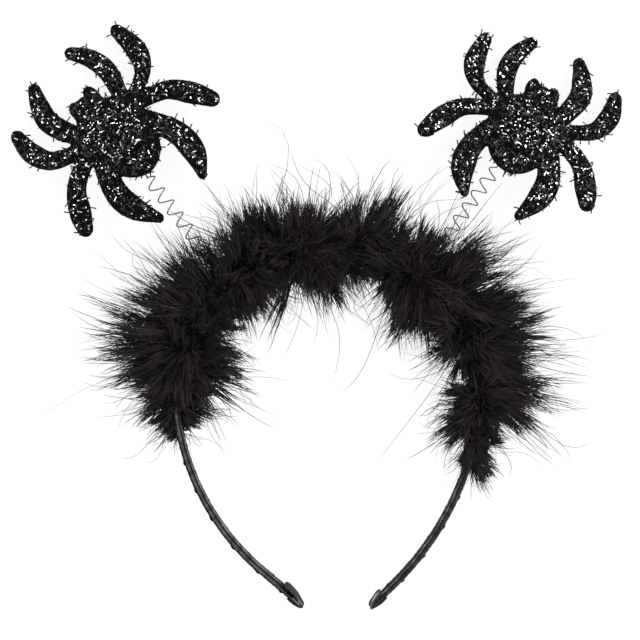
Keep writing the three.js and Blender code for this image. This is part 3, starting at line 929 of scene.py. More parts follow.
@dataclass
class EndFold:
    """The ribbon's end, turned over one end of the band with its inner flap standing open.

    Places along the fold are shares of its run: it is pinched where it turns, and slants from where
    the flap starts. Its painted highlight along the edge and the painted light on the inside of its
    flap are placed across it and along it, each by a middle and a width.
    """

    hoop: Hoop
    side: Side
    width: float = 6.6
    wall: float = 0.55
    rows: int = 60
    columns: int = 15
    smoothing: int = 6
    ripple_height: float = 0.1
    flutter_height: float = 0.2
    turn_at: float = 0.42
    turn_width: float = 0.16
    tip_pinch: float = 0.35
    flap_at: float = 0.45
    flap_run: float = 0.3
    slant: float = 0.5
    round_from: float = 1.03
    round_run: float = 0.1
    floor_clear: float = 0.05
    face_tone: float = 0.2
    blotch_tone: float = 0.3
    edge_highlight: float = 1.4
    edge_across: tuple[float, float] = (0.95, 0.15)
    edge_along: tuple[float, float] = (0.53, 0.09)
    inside_light_across: tuple[float, float] = (0.1, 0.3)
    inside_light_along: tuple[float, float] = (0.78, 0.12)

    def middle(self) -> Array:
        """Run a smooth line through the course.

        Returns:
            Its points: distance past the end, and out of the hoop.
        """
        knots = np.array(FOLD_COURSES[self.side])
        reach = np.concatenate([[0], np.cumsum(np.hypot(*np.diff(knots, axis=0).T))])
        even = np.linspace(0, reach[-1], self.rows)
        line = np.stack([np.interp(even, reach, knots[:, i]) for i in (0, 1)], axis=-1)
        for _ in range(self.smoothing):
            line[1:-1] = (line[:-2] + 2 * line[1:-1] + line[2:]) / 4
        return line

    def build(self, material: bpy.types.Material) -> bpy.types.Object:
        """Make the fold as a thin closed strip.

        Args:
            material: The ribbon's material.

        Returns:
            The piece that stands for the fold.
        """
        local = capped(self.strip())
        flat = local.reshape(-1, 3)
        vertices = above_floor(self._at_end(flat), self.floor_clear)
        quads = grid_quads(len(local), local.shape[1])
        if self.side is Side.RIGHT:
            quads = quads[:, ::-1]
        piece = mesh_piece(f"{self.side.word}_ribbon_fold", vertices, quads)
        lay_ribbon(piece, flat[corner_numbers(piece)][:, [0, 2]], self.tones(local))
        return settle(piece, material, (f"{self.side.word}_end_fold",))

    def strip(self) -> Array:
        """Draw the strip's two walls round the middle line.

        Returns:
            Its points by ring, in the fold's own axes: past the end, out of the hoop and forward.
        """
        line = self.middle()
        along = unit(np.gradient(line, axis=0))
        off = np.stack([-along[:, 1], along[:, 0]], axis=-1)
        across = np.linspace(-0.5, 0.5, self.columns)[None]
        run = np.linspace(0, 1, self.rows)[:, None]
        ripple = self.ripple_height * np.sin(9 * run + 5 * across)
        ripple = ripple + self.flutter_height * across**2 * np.sin(14 * run)
        leaning = self.slant * np.clip((run - self.flap_at) / self.flap_run, 0, 1) * across
        pinch = 1 - self.tip_pinch * bell(run, self.turn_at, self.turn_width)
        pinch = pinch * np.clip((self.round_from - run) / self.round_run, 0, 1) ** 0.5
        depth = across * self.width * pinch
        walls = []
        for sign in (-0.5, 0.5):
            stand = ripple + sign * self.wall
            plane = line[:, None] + stand[..., None] * off[:, None]
            plane[..., 1] += leaning
            walls.append(np.concatenate([plane, depth[..., None]], axis=-1))
        return np.concatenate([walls[0], walls[1][:, ::-1]], axis=1)

    def tones(self, local: Array) -> Array:
        """How light the fold is: dark and blotchy, with a painted highlight on its edge and painted light
        inside its flap.

        Args:
            local: The fold's points by ring, in its own axes.

        Returns:
            Tones by ring and point.
        """
        run = np.linspace(0, 1, len(local))[:, None]
        past, forward = local[..., 0], local[..., 2]
        depth = forward / np.maximum(np.abs(forward).max(axis=1, keepdims=True), 0.1)
        blotch = np.sin(4.3 * past) * np.sin(3.7 * forward + 2 * past)
        # Painted highlight along the flap's edge, near its tip
        edge = bell(depth, *self.edge_across) * bell(run, *self.edge_along)
        # Painted light on the inside of the flap
        inside_light = bell(depth, *self.inside_light_across) * bell(run, *self.inside_light_along)
        tones = self.face_tone + self.blotch_tone * blotch + self.edge_highlight * edge
        return np.clip(FACE_TONE * (tones + FLAP_INSIDE_LIGHT[self.side] * inside_light), 0, 1)

    def _at_end(self, local: Array) -> Array:
        """Carry points from the fold's own axes to the end of the band.

        Args:
            local: Places past the end, out of the hoop and forward.

        Returns:
            The same places in the part's frame.
        """
        point, out = self.hoop.at(np.array([self.hoop.last_station(self.side)]))
        past = self.side.value * np.array([out[0, 1], -out[0, 0], 0.0])
        outward, forward = self.hoop.section_axes(out[0])
        placed = point + local[:, :1] * past + local[:, 1:2] * outward + local[:, 2:] * forward
        return self.hoop.to_part(placed)


@dataclass
class CoilSpring:
    """An open wire coil that stands level on the crown and ends in a straight tail.

    The foot's place on the hoop and the way that the coil leaves it are angles in degrees.
    """

    hoop: Hoop
    side: Side
    foot_angle: float
    leaves: float
    turns: float
    phase: float
    coil_radius: float = 2.6
    wire: float = 0.55
    pitch: float = 6.1
    closing_turns: float = 0.6
    tail: float = 5.0
    seat: float = 62.58
    steps_per_turn: int = 40
    tail_steps: int = 9
    sides: int = 10

    def __post_init__(self) -> None:
        """Find the coil's own axes in the part's frame."""
        foot, way = math.radians(self.foot_angle), math.radians(self.leaves)
        on_hoop = self.seat * np.array([math.cos(foot), math.sin(foot), 0.0])
        self.foot = self.hoop.to_part(on_hoop)
        self.axis = np.array([math.cos(way), math.sin(way), 0.0])
        self.across = np.cross(FRONT, self.axis)

    @property
    def far_end(self) -> Array:
        """Where the coil ends and the tail starts."""
        return self.foot + self.axis * self.pitch * self.turns

    def build(self, material: bpy.types.Material) -> bpy.types.Object:
        """Make the coil.

        Args:
            material: The wire's material.

        Returns:
            The piece that stands for the spring.
        """
        turn = np.linspace(0, self.turns, int(self.turns * self.steps_per_turn))
        left = np.clip((self.turns - turn) / self.closing_turns, 0, 1)
        radius = self.coil_radius * left * left * (3 - 2 * left)
        angle = 2 * np.pi * (turn - self.phase)
        tail = np.linspace(0, self.tail, self.tail_steps + 1)[1:]
        height = np.concatenate([self.pitch * turn, self.pitch * self.turns + tail])
        angle = np.concatenate([angle, np.full(len(tail), angle[-1])])
        radius = np.concatenate([radius, np.zeros(len(tail))])
        spoke = np.cos(angle)[:, None] * self.across + np.sin(angle)[:, None] * FRONT
        line = self.foot + height[:, None] * self.axis + radius[:, None] * spoke
        vertices, quads = tube(line, spoke, self.wire / 2, self.sides)
        piece = mesh_piece(f"{self.side.word}_coil_spring", vertices, quads)
        return settle(piece, material, (f"{self.side.word}_spring",))


@dataclass(frozen=True)
class Stand:
    """How one spider stands on its spring, in its own axes: across, ahead and up.

    The heading is in degrees, handed is -1 for a mirrored cut, reach is how far the cut is stretched
    along the body, the entry is where the wire goes in, and the crease is the line behind the body
    where the abdomen starts, from right to left.
    """

    heading: float
    handed: int
    reach: float
    entry: tuple[float, float, float]
    crease: tuple[tuple[float, float], tuple[float, float]]
    seed: int


STANDS = {
    Side.LEFT: Stand(130.3, 1, 1.05, (-1.1, -19.7, 2.0), ((11.7, -7.2), (-9.1, -10.9)), 5),
    Side.RIGHT: Stand(70.8, -1, 0.965, (-6.1, -17.25, 2.0), ((9.1, -10.0), (-11.7, -6.6)), 11),
}

# The cut-out's legs: the middle line from hip to toe, across to the right and ahead to the head, the
# width at those four points, and the set that a mirrored cut has taken at the hip, in degrees
LEGS = (
    (((-10, 6), (-17.3, 20.5), (-16.2, 29.5), (-13.7, 35.6)), (6.2, 8.6, 7.4, 4.8), -3),
    (((-11, 4.4), (-25.5, 8.6), (-30.8, 16.5), (-31.2, 25.4)), (5.2, 6.8, 8.2, 5.4), -2),
    (((-10, 4), (-25, -4.4), (-31, -13.5), (-33.7, -19.6)), (6.4, 7.2, 8.6, 6.4), 3),
    (((-8.5, 3), (-14.6, -15), (-13.6, -25.5), (-8.3, -35.2)), (6.6, 9.2, 9.2, 3.8), 0),
    (((9.6, 5), (13.7, 21), (12, 30.4), (7.2, 37.4)), (4.4, 7.6, 7.2, 5), -3),
    (((11, 7), (23.6, 12.4), (28.2, 21), (27.3, 32.2)), (4, 5.8, 8.4, 5.4), 0),
    (((10, 6), (26, 2), (33.8, -5.6), (38.6, -12.9)), (5.4, 7, 8.6, 6.2), -1),
    (((10, 3), (18.8, -13), (19.5, -24), (16, -33.3)), (6.8, 9, 9.2, 3.4), -1),
)

# The cut-out's lobes: the middle of each ellipse, its two half sizes, and its thickness
LOBES = (
    (-1.6, 13.3, 7.4, 7.0, 4.8), (-0.2, 4.0, 15.0, 11.4, 4.8), (1.2, -5.6, 12.2, 13.4, 4.8),
    (-5.9, 17.9, 2.8, 3.8, 3.2), (2.7, 18.4, 2.8, 4.7, 3.2),
)


def spline(knots: Array, count: int) -> Array:
    """Run a smooth line through a few knots, evenly from knot to knot.

    Args:
        knots: One row each.
        count: How many points the line has.

    Returns:
        The line's points.
    """
    place = np.linspace(0, len(knots) - 1, count)
    number = np.minimum(place.astype(int), len(knots) - 2)
    t = (place - number)[:, None]
    padded = np.concatenate([knots[:1], knots, knots[-1:]])
    a, b, c, d = (padded[number + i] for i in range(4))
    first, last = (c - a) / 2, (d - b) / 2
    return b + first * t + (3 * (c - b) - 2 * first - last) * t**2 + (2 * (b - c) + first + last) * t**3


def slab(line: Array, half: Array, thickness: float, bevel: float) -> tuple[Array, Array]:
    """Draw a flat lobe or leg with bevelled edges.

    Args:
        line: Points along its middle, across and ahead.
        half: Half its width at each.
        thickness: How thick it is, up from the back.
        bevel: How wide the bevel along the upper edge is.

    Returns:
        Vertices and quads, closed.
    """
    low_edge, high_edge, most_bevel = 0.3, 0.7, 0.6 * half
    way = unit(np.gradient(line, axis=0))
    aside = np.stack([way[:, 1], -way[:, 0]], axis=-1)
    back = half - np.minimum(low_edge * thickness, most_bevel)
    top = half - np.minimum(bevel, most_bevel)
    widths = np.stack([-half, -back, back, half, half, top, -top, -half], axis=-1)
    heights = thickness * np.array([low_edge, 0, 0, low_edge, high_edge, 1, 1, high_edge])
    level = line[:, None] + widths[..., None] * aside[:, None]
    closed = capped(np.dstack([level, np.tile(heights, (len(line), 1))]))
    return closed.reshape(-1, 3), grid_quads(len(closed), len(heights))


@dataclass(frozen=True)
class Slivers:
    """One kind of sliver that lies on the foam.

    The facing is the least and the most that the foam may face up there, from -1 to 1. Lengths and
    widths run from least to most, and the long share of the slivers is longer by a fixed length.
    """

    word: str
    count: int
    facing: tuple[float, float]
    clustered: bool
    lengths: tuple[float, float]
    widths: tuple[float, float]
    long_share: float = 0.0
    longer: float = 0.0


BLACK_SLIVERS = Slivers("black_tinsel", 1900, (0.7, 1.0), False, (0.9, 2.2), (0.25, 0.45))
# Painted glints: bright slivers only on faces turned up, in clusters
GLINT_SLIVERS = Slivers("glint_tinsel", 690, (0.93, 1.0), True, (0.4, 0.95), (0.24, 0.42), 0.12, 1.1)


@dataclass
class TinselSpider:
    """A foam cut-out covered in chopped tinsel, hung on the tail of its spring.

    The lift is the steepest that a sliver's end stands up, in radians, and the roll is a share of it.
    Whiskers are loose slivers along the rim, and stand out from it by a share of their length.
    """

    spring: CoilSpring
    node: bpy.types.Object
    back_facing: float = -0.93
    leg_steps: int = 30
    toe_steps: int = 9
    lobe_steps: int = 31
    lobe_tip: float = 0.06
    leg_thickness: float = 3.2
    leg_bevel: float = 1.0
    body_bevel: float = 3.2
    voxel: float = 0.6
    rounds: int = 8
    swell: float = 0.25
    floor_clear: float = 0.02
    crease_depth: float = 0.9
    crease_width: float = 0.8
    crease_sag: float = 1.6
    crease_margin: float = 1.0
    crease_over: float = 1.5
    body_middle: float = 2.0
    body_radius: float = 15.0
    body_share: float = 1.3
    cluster_share: float = 0.35
    film: float = 0.05
    lift: float = 0.5
    lift_bias: float = 1.3
    lift_share: float = 0.8
    roll: float = 0.6
    glue: float = 0.06
    whiskers: int = 100
    whisker_facing: tuple[float, float] = (-0.2, 0.5)
    whisker_lengths: tuple[float, float] = (1.1, 3.0)
    whisker_width: float = 0.5
    whisker_thickness: float = 0.2
    whisker_stand: float = 0.3
    whisker_stray: float = 0.8
    whisker_roll: float = 0.4

    def __post_init__(self) -> None:
        """Find the cut-out's own axes from the flat back of the CAD solid."""
        self.word = self.spring.side.word
        self.stand = STANDS[self.spring.side]
        self.random = np.random.default_rng(self.stand.seed)
        faces = self.node.data.polygons
        normals = np.array([face.normal for face in faces])
        areas = np.array([face.area for face in faces])
        back = normals[:, 2] < self.back_facing
        self.up = -unit((areas[:, None] * normals)[back].sum(0))
        heading = math.radians(self.stand.heading)
        ahead = np.array([math.cos(heading), math.sin(heading), 0.0])
        self.ahead = unit(ahead - self.up * (ahead @ self.up))
        self.right = np.cross(self.ahead, self.up)
        across, along, height = self.stand.entry
        entry = across * self.right + along * self.ahead + height * self.up
        self.origin = self.spring.far_end - entry

    def build(
        self, foam: bpy.types.Material, black: bpy.types.Material, bright: bpy.types.Material
    ) -> None:
        """Make the spider.

        Args:
            foam: The cut-out's material.
            black: The lacquered slivers' material.
            bright: The material of the bright metal slivers that stand in for glints.
        """
        body = self.foam(foam)
        for kind, material in ((BLACK_SLIVERS, black), (GLINT_SLIVERS, bright)):
            settle(self.slivers(body, kind), material)
        settle(self.loose_slivers(body), black)

    def slabs(self) -> list[tuple[Array, Array]]:
        """Draw the legs and lobes flat, each with a rounded end.

        Returns:
            Vertices and quads of each, in the cut-out's own axes.
        """
        drawn = []
        for joints, widths, set_angle in LEGS:
            course = spline(np.column_stack([joints, widths]), self.leg_steps)
            bend = math.radians(set_angle) * (self.stand.handed < 0)
            turn = np.array([[math.cos(bend), math.sin(bend)], [-math.sin(bend), math.cos(bend)]])
            line = (course[:, :2] - course[0, :2]) @ turn + course[0, :2]
            half = course[:, 2] / 2
            round_off = np.linspace(0, np.pi / 2, self.toe_steps)[1:-1, None]
            toe = line[-1] + unit(line[-1] - line[-2]) * half[-1] * np.sin(round_off)
            half = np.concatenate([half, half[-1] * np.cos(round_off[:, 0])])
            drawn.append(slab(np.concatenate([line, toe]), half, self.leg_thickness, self.leg_bevel))
        angle = np.linspace(self.lobe_tip, np.pi - self.lobe_tip, self.lobe_steps)
        for across, ahead, half_across, half_ahead, thickness in LOBES:
            line = np.stack([np.full(len(angle), across), ahead - half_ahead * np.cos(angle)], axis=-1)
            drawn.append(slab(line, half_across * np.sin(angle), thickness, self.body_bevel))
        return drawn

    def foam(self, material: bpy.types.Material) -> bpy.types.Object:
        """Make the foam cut-out: legs and lobes grown together, rounded over and creased.

        Args:
            material: The foam's material.

        Returns:
            The piece that stands for the spider.
        """
        mesh = self._grown()
        points = mesh_points(mesh)
        normals = np.array([vertex.normal for vertex in mesh.vertices])
        points += self.swell * (normals - (normals @ self.up)[:, None] * self.up)
        points -= self._crease_cut(points)[:, None] * self.up
        points = above_floor(points, self.floor_clear)
        mesh.vertices.foreach_set("co", (points * MM).astype(np.float32).ravel())
        mesh.polygons.foreach_set("use_smooth", np.ones(len(mesh.polygons), bool))
        mesh.update()
        mesh.name = f"{self.word}_foam_spider"
        piece = bpy.data.objects.new(mesh.name, mesh)
        bpy.context.scene.collection.objects.link(piece)
        settle(piece, material, (f"{self.word}_spider",))
        return piece

    def _grown(self) -> bpy.types.Mesh:
        """Grow the legs and lobes together into one smooth skin.

        Returns:
            The cut-out's mesh, in place.
        """
        drawn = self.slabs()
        starts = np.cumsum([0] + [len(points) for points, _ in drawn])
        flat = np.concatenate([points for points, _ in drawn])
        quads = np.concatenate([faces + start for (_, faces), start in zip(drawn, starts)])
        x, y = self.stand.handed * flat[:, :1], self.stand.reach * flat[:, 1:2]
        placed = self.origin + x * self.right + y * self.ahead + flat[:, 2:] * self.up
        rough = mesh_piece("rough_cut", placed, quads)
        remesh = rough.modifiers.new("remesh", "REMESH")
        remesh.mode = "VOXEL"
        remesh.voxel_size = self.voxel * MM
        smooth = rough.modifiers.new("smooth", "SMOOTH")
        smooth.iterations = self.rounds
        smooth.factor = 0.5
        bpy.context.view_layer.update()
        shaped = rough.evaluated_get(bpy.context.evaluated_depsgraph_get())
        mesh = bpy.data.meshes.new_from_object(shaped)
        bpy.data.objects.remove(rough)
        return mesh

    def _crease_cut(self, points: Array) -> Array:
        """How far the crease behind the body sinks each point of the upper face.

        Args:
            points: Places on the cut-out.

        Returns:
            A depth for each.
        """
        offset = points - self.origin
        across, along, height = offset @ self.right, offset @ self.ahead, offset @ self.up
        (x0, y0), (x1, y1) = self.stand.crease
        share = np.clip((x0 - across) / (x0 - x1), 0, 1)
        line = y0 + (y1 - y0) * share - self.crease_sag * np.sin(np.pi * share)
        inside = (across < x0 + self.crease_margin) & (across > x1 - self.crease_margin)
        near = bell(along, line, self.crease_width) * (inside & (height > self.crease_over))
        return self.crease_depth * near

    def scatter(
        self, foam: bpy.types.Object, count: int, facing: tuple[float, float], clustered: bool
    ) -> tuple[Array, Array]:
        """Pick random places on the foam.

        Args:
            foam: The cut-out.
            count: How many places.
            facing: The least and the most that a face may face up, from -1 to 1.
            clustered: Whether the places gather in loose clusters.

        Returns:
            The places and the faces' normals.
        """
        mesh = foam.data
        mesh.calc_loop_triangles()
        numbers = np.empty(len(mesh.loop_triangles) * 3, np.int32)
        mesh.loop_triangles.foreach_get("vertices", numbers)
        corners = mesh_points(mesh)[numbers.reshape(-1, 3)]
        normals = np.cross(corners[:, 1] - corners[:, 0], corners[:, 2] - corners[:, 0])
        areas = np.linalg.norm(normals, axis=1)
        normals = normals / areas[:, None]
        chance = areas * (normals @ self.up >= facing[0]) * (normals @ self.up <= facing[1])
        if clustered:
            chance = chance * self._cluster(corners.mean(1))
        chosen = self.random.choice(len(areas), count, p=chance / chance.sum())
        a, b = self.random.random((2, count))
        swap = a + b > 1
        a[swap], b[swap] = 1 - a[swap], 1 - b[swap]
        first, second, third = corners[chosen].transpose(1, 0, 2)
        spots = first + a[:, None] * (second - first) + b[:, None] * (third - first)
        return spots, normals[chosen]

    def _cluster(self, spots: Array) -> Array:
        """The chance of a sliver at each spot, higher on the body and in loose clusters.

        Args:
            spots: Places on the cut-out.

        Returns:
            A share for each, none of it in the crease.
        """
        offset = spots - self.origin
        x, y = offset @ self.right, offset @ self.ahead
        wave = np.sin(0.55 * x + 1.3 * np.sin(0.37 * y)) * np.sin(0.49 * y + 1.1 * np.sin(0.41 * x + 2))
        on_body = np.hypot(x, y - self.body_middle) < self.body_radius
        clear = 1 - self._crease_cut(spots) / self.crease_depth
        return (0.5 + self.cluster_share * wave) * np.where(on_body, self.body_share, 1.0) * clear

    def slivers(self, foam: bpy.types.Object, kind: Slivers) -> bpy.types.Object:
        """Lay slivers on the foam, each a little lifted at one end.

        Args:
            foam: The cut-out.
            kind: What the slivers are like.

        Returns:
            The joined slivers.
        """
        random, count = self.random, kind.count
        spots, normals = self.scatter(foam, count, kind.facing, kind.clustered)
        lengths = random.uniform(*kind.lengths, count)
        if kind.long_share:
            lengths = lengths + kind.longer * (random.random(count) < kind.long_share)
        widths = random.uniform(*kind.widths, count)
        wild = random.normal(size=(count, 3))
        flat = unit(wild - normals * (wild * normals).sum(1, keepdims=True))
        tilt = self.lift * random.random(count) ** self.lift_bias
        roll = self.roll * self.lift * random.normal(size=count)
        ways = np.cos(tilt)[:, None] * flat + np.sin(tilt)[:, None] * normals
        faces = normals + roll[:, None] * np.cross(normals, flat)
        rise = self.glue + lengths / 2 * np.sin(tilt) * self.lift_share
        sizes = np.stack([lengths, widths, np.full(count, self.film)], axis=-1)
        return plate_piece(f"{self.word}_{kind.word}", spots + rise[:, None] * normals, ways, faces, sizes)

    def loose_slivers(self, foam: bpy.types.Object) -> bpy.types.Object:
        """Stand a few loose slivers out from the rim.

        Args:
            foam: The cut-out.

        Returns:
            The joined slivers.
        """
        random, count = self.random, self.whiskers
        spots, normals = self.scatter(foam, count, self.whisker_facing, False)
        wild = random.normal(size=(count, 3)) * self.whisker_stray
        ways = unit(normals + wild - self.up * (wild @ self.up)[:, None])
        lengths = random.uniform(*self.whisker_lengths, count)
        middles = spots + ways * lengths[:, None] * self.whisker_stand
        section = np.tile([self.whisker_width, self.whisker_thickness], (count, 1))
        faces = self.up + self.whisker_roll * random.normal(size=(count, 3))
        sizes = np.column_stack([lengths, section])
        return plate_piece(f"{self.word}_loose_tinsel", middles, ways, faces, sizes)


# How far the trim's dense part reaches from the band: place along the band from the crown,
# reach inside the hoop and reach outside it
WHORLS = (
    (-109, 2, 4), (-106, 3, 7), (-103, 6, 9), (-99, 15, 11), (-97, 21, 13), (-94, 8, 14.5),
    (-91, 4, 16), (-88, 10, 19), (-84, 24, 21), (-76, 24, 26), (-71, 20, 31), (-64, 15, 28),
    (-58, 12, 28), (-47, 14, 18), (-42, 14, 15), (-37, 15, 19), (-31, 19, 23), (-24, 9, 21),
    (-16, 15, 20), (-8, 27, 17), (0, 15, 7), (8, 20, 21), (14, 7, 22), (26, 9, 13), (37, 24, 20),
    (44, 19, 29), (50, 11, 28), (57, 6, 23), (64, 16, 28), (69, 20, 32), (73, 9, 31), (77, 5, 20),
    (80, 3, 15), (83, 3, 19), (86, 5, 31), (90, 8, 30), (94, 14, 20), (98, 17, 10), (101, 12, 7),
    (105, 5, 6), (109, 3, 8), (116, 2, 9), (121, 1, 9),
)

# How far the shortest loose hairs reach: place along the band from the crown, inside and outside
SHORTEST_HAIRS = (
    (-109, 7, 8), (-92, 11, 13), (-50, 13, 13), (-20, 13, 19), (0, 10, 21), (20, 8, 19), (50, 13, 15),
    (80, 13, 17), (100, 12, 12), (121, 6, 8),
)

# How high the down stands in front of the band: place along the band from the crown, and share of
# its level reach
LOFT = ((-109, 0.15), (-99, 0.3), (-93, 0.75), (94, 0.85), (101, 1.5), (113, 2.0), (121, 1.6))

# How the down is combed: place along the band from the crown, and lean towards the right end
COMBED = ((-109, -0.9), (-92, -0.25), (-60, 0.0), (0, 0.12), (45, 0.3), (95, 0.45), (121, 1.1))


def inner_to_outer(table: Table, stations: Array, around: Array) -> Array:
    """Read a table of inner and outer reaches by place along the band and angle round it.

    Args:
        table: Place along the band, reach inside the hoop and reach outside it, by row.
        stations: Distances along the band from the crown.
        around: Angles round the band, from straight out of the hoop towards the front.

    Returns:
        The reaches.
    """
    places, inner, outer = np.array(table, float).T
    inside = np.interp(stations, places, inner)
    outside = np.interp(stations, places, outer)
    return inside + (outside - inside) * (1 + np.cos(around)) / 2


@dataclass(frozen=True)
class Hairs:
    """One kind of loose hair: how many wisps of it there are, how far they reach, and how fine.

    A wisp has one strand or more. The reaches are shares of the dense part's reach, the lean is
    along the band, either way, the curl is a share of a hair's length, and the outer share of the
    wisps leaves the band outside the hoop.
    """

    name: str
    wisps: int
    strands: int
    reaches: tuple[float, float]
    lean: float
    curl: float
    radius: float
    outer_share: float = 0.0


LOOSE_HAIRS = (
    Hairs("marabou_wisps", 430, 7, (1.0, 1.95), 0.3, 0.14, 0.19, 0.55),
    Hairs("marabou_flyaways", 760, 1, (1.1, 2.0), 0.45, 0.22, 0.15, 0.62),
    Hairs("marabou_long_hairs", 260, 1, (1.4, 2.6), 0.6, 0.4, 0.15, 0.6),
)
STRAY_HAIRS = Hairs("marabou_strays", 260, 1, (0.8, 1.4), 1.2, 0.15, 0.1)


@dataclass
class FeatherTrim:
    """Marabou plumes all round the crown: tufts of plumes, and locks of barbs along each plume.

    The tuft ways are angles round the band in degrees, from straight out of the hoop towards the
    front. Spreads are turns round the band and sways are leans along it, both by chance. Lengths,
    openings and fineness run from least to most, as shares. A bias is the power that a chance is
    raised to, so a higher one makes large values rarer.
    """

    hoop: Hoop
    seed: int = 21
    start: float = -109.0
    end: float = 121.0
    inset: float = 1.0
    bare_end: float = 11.0
    covered_end: float = 14.0
    flatten: float = 0.62
    ceiling: float = 24.0
    floor_clear: float = 0.15
    floor_uneven: float = 0.5
    overreach: float = 1.03
    core_rows: int = 150
    core_columns: int = 28
    core_share: float = 0.58
    core_height: float = 0.75
    core_least: float = 3.6
    core_lumps: float = 0.12
    core_end: float = 5.0
    core_tip: float = 0.05
    tufts: int = 235
    tuft_inset: float = 2.0
    tuft_ways: tuple[float, ...] = (0, 180, 75, 0, 180, 100, 0, 180, 55, 270, 125)
    front_from: float = 0.2
    inside_from: float = -0.9
    tuft_spread: float = 0.35
    tuft_sway: float = 0.22
    upright_sway: float = 2.5
    tuft_lengths: tuple[float, float] = (0.85, 1.14)
    plumes_per_tuft: int = 3
    plume_scatter: float = 1.6
    plume_spread: float = 0.26
    plume_sway: float = 0.14
    plume_root: float = 1.5
    plume_lengths: tuple[float, float] = (0.65, 1.15)
    locks_per_plume: int = 8
    first_lock: float = 0.02
    lock_run: float = 0.72
    lock_bias: float = 0.9
    lock_width: float = 0.06
    lock_angle: float = 58.0
    lock_angle_drop: float = 30.0
    lock_openings: tuple[float, float] = (0.2, 1.1)
    lock_length: float = 1.08
    lock_length_drop: float = 0.95
    lock_lengths: tuple[float, float] = (0.75, 1.15)
    turn_in: float = 1.3
    barbs_per_lock: int = 6
    barb_lengths: tuple[float, float] = (0.65, 1.05)
    barb_overshoot: float = 0.6
    overshoot_bias: int = 5
    barb_fineness: tuple[float, float] = (0.7, 1.25)
    looseness: tuple[float, float] = (0.03, 0.12)
    loose_chances: tuple[float, float] = (0.6, 0.4)
    gather: float = 0.8
    knots: tuple[float, ...] = (0.0, 0.42, 0.82, 1.0)
    barb_taper: tuple[float, ...] = (1.0, 1.0, 0.85, 0.0)
    barb_radius: float = 0.155
    underdown: int = 6000
    underdown_root: float = 0.22
    underdown_sway: float = 0.5
    underdown_stray: float = 0.35
    underdown_curl: float = 0.12
    underdown_lengths: tuple[float, float] = (0.45, 0.8)
    underdown_fineness: tuple[float, float] = (0.7, 1.2)
    underdown_taper: tuple[float, ...] = (1.0, 0.8, 0.0)
    underdown_radius: float = 0.17
    end_down: int = 600
    end_share: float = 0.08
    most_hair: float = 42.0
    most_curl: float = 0.45
    hair_bias: float = 1.6
    hair_root: float = 0.25
    hair_tip: float = 0.5
    hair_spread: float = 0.45
    hair_splays: tuple[float, float] = (0.02, 0.12)
    hair_lengths: tuple[float, float] = (0.7, 1.0)
    hair_fineness: tuple[float, float] = (0.6, 1.2)
    single_knots: int = 9
    strand_knots: int = 6
    strand_scatter: float = 1.2
    strand_curl: float = 0.04
    second_curl: float = 0.3
    stray_spread: float = 0.6

    def __post_init__(self) -> None:
        """Start the trim's own run of random numbers."""
        self.random = np.random.default_rng(self.seed)

    def build(
        self, down: bpy.types.Material, under: bpy.types.Material, stray: bpy.types.Material
    ) -> None:
        """Make the trim: a soft core, the barbs in four lengths, and the loose hairs.

        Args:
            down: The barbs' material.
            under: The core's material, darker and without gloss: painted shade deep inside the trim.
            stray: The material of the paler hairs that lie on top, a painted highlight on strands that
                catch the light.
        """
        settle(self.core(), under, ("feather_trim",))
        settle(self.short_down(), down)
        points, station = self.barbs()
        fineness = self.random.uniform(*self.barb_fineness, len(points))
        radii = self.barb_radius * fineness[:, None] * np.array(self.barb_taper)[None]
        turns = self._turns(len(points))
        length = np.searchsorted(np.quantile(station, [0.25, 0.5, 0.75]), station)
        for number, word in enumerate(("left_side", "left_crown", "right_crown", "right_side")):
            mine = length == number
            piece = strand_piece(f"marabou_{word}", points[mine], radii[mine], turns[mine])
            settle(piece, down)
        ways = [self._either_side(kind.wisps, kind.outer_share) for kind in LOOSE_HAIRS]
        for kind, around in zip(LOOSE_HAIRS, ways):
            settle(self.hairs(kind, around), down)
        on_top = self.random.normal(np.pi / 2, self.stray_spread, STRAY_HAIRS.wisps)
        settle(self.hairs(STRAY_HAIRS, on_top), stray)

    def _turns(self, count: int) -> Array:
        """Pick how far each strand's section is turned about it."""
        return self.random.uniform(0, 2 * np.pi, count)

    def _either_side(self, count: int, outer_share: float) -> Array:
        """Pick angles round the band, most of them close to level, outside or inside the hoop."""
        sides = self.random.choice([0.0, np.pi], count, p=[outer_share, 1 - outer_share])
        return sides + self.random.normal(0, self.hair_spread, count)

    def reach(self, stations: Array, around: Array) -> Array:
        """How far the dense part reaches, by place along the band and angle round it."""
        loft = np.interp(stations, *np.array(LOFT).T)
        return inner_to_outer(WHORLS, stations, around) * (1 + (loft - 1) * np.abs(np.sin(around)))

    def frames(self, stations: Array, around: Array, lean: Array) -> tuple[Array, Array]:
        """Find places on the band, and the way a plume leaves there.

        Args:
            stations: Distances along the band from the crown.
            around: Angles round the band, from straight out of the hoop towards the front.
            lean: How far each leans along the band, besides the way the down is combed.

        Returns:
            The places and the directions.
        """
        point, out = self.hoop.at(stations)
        way = np.cos(around)[:, None] * out + np.sin(around)[:, None] * FRONT
        along = np.stack([out[:, 1], -out[:, 0], np.zeros(len(out))], axis=-1)
        lean = lean + np.interp(stations, *np.array(COMBED).T)
        return point, unit(way + lean[:, None] * along)

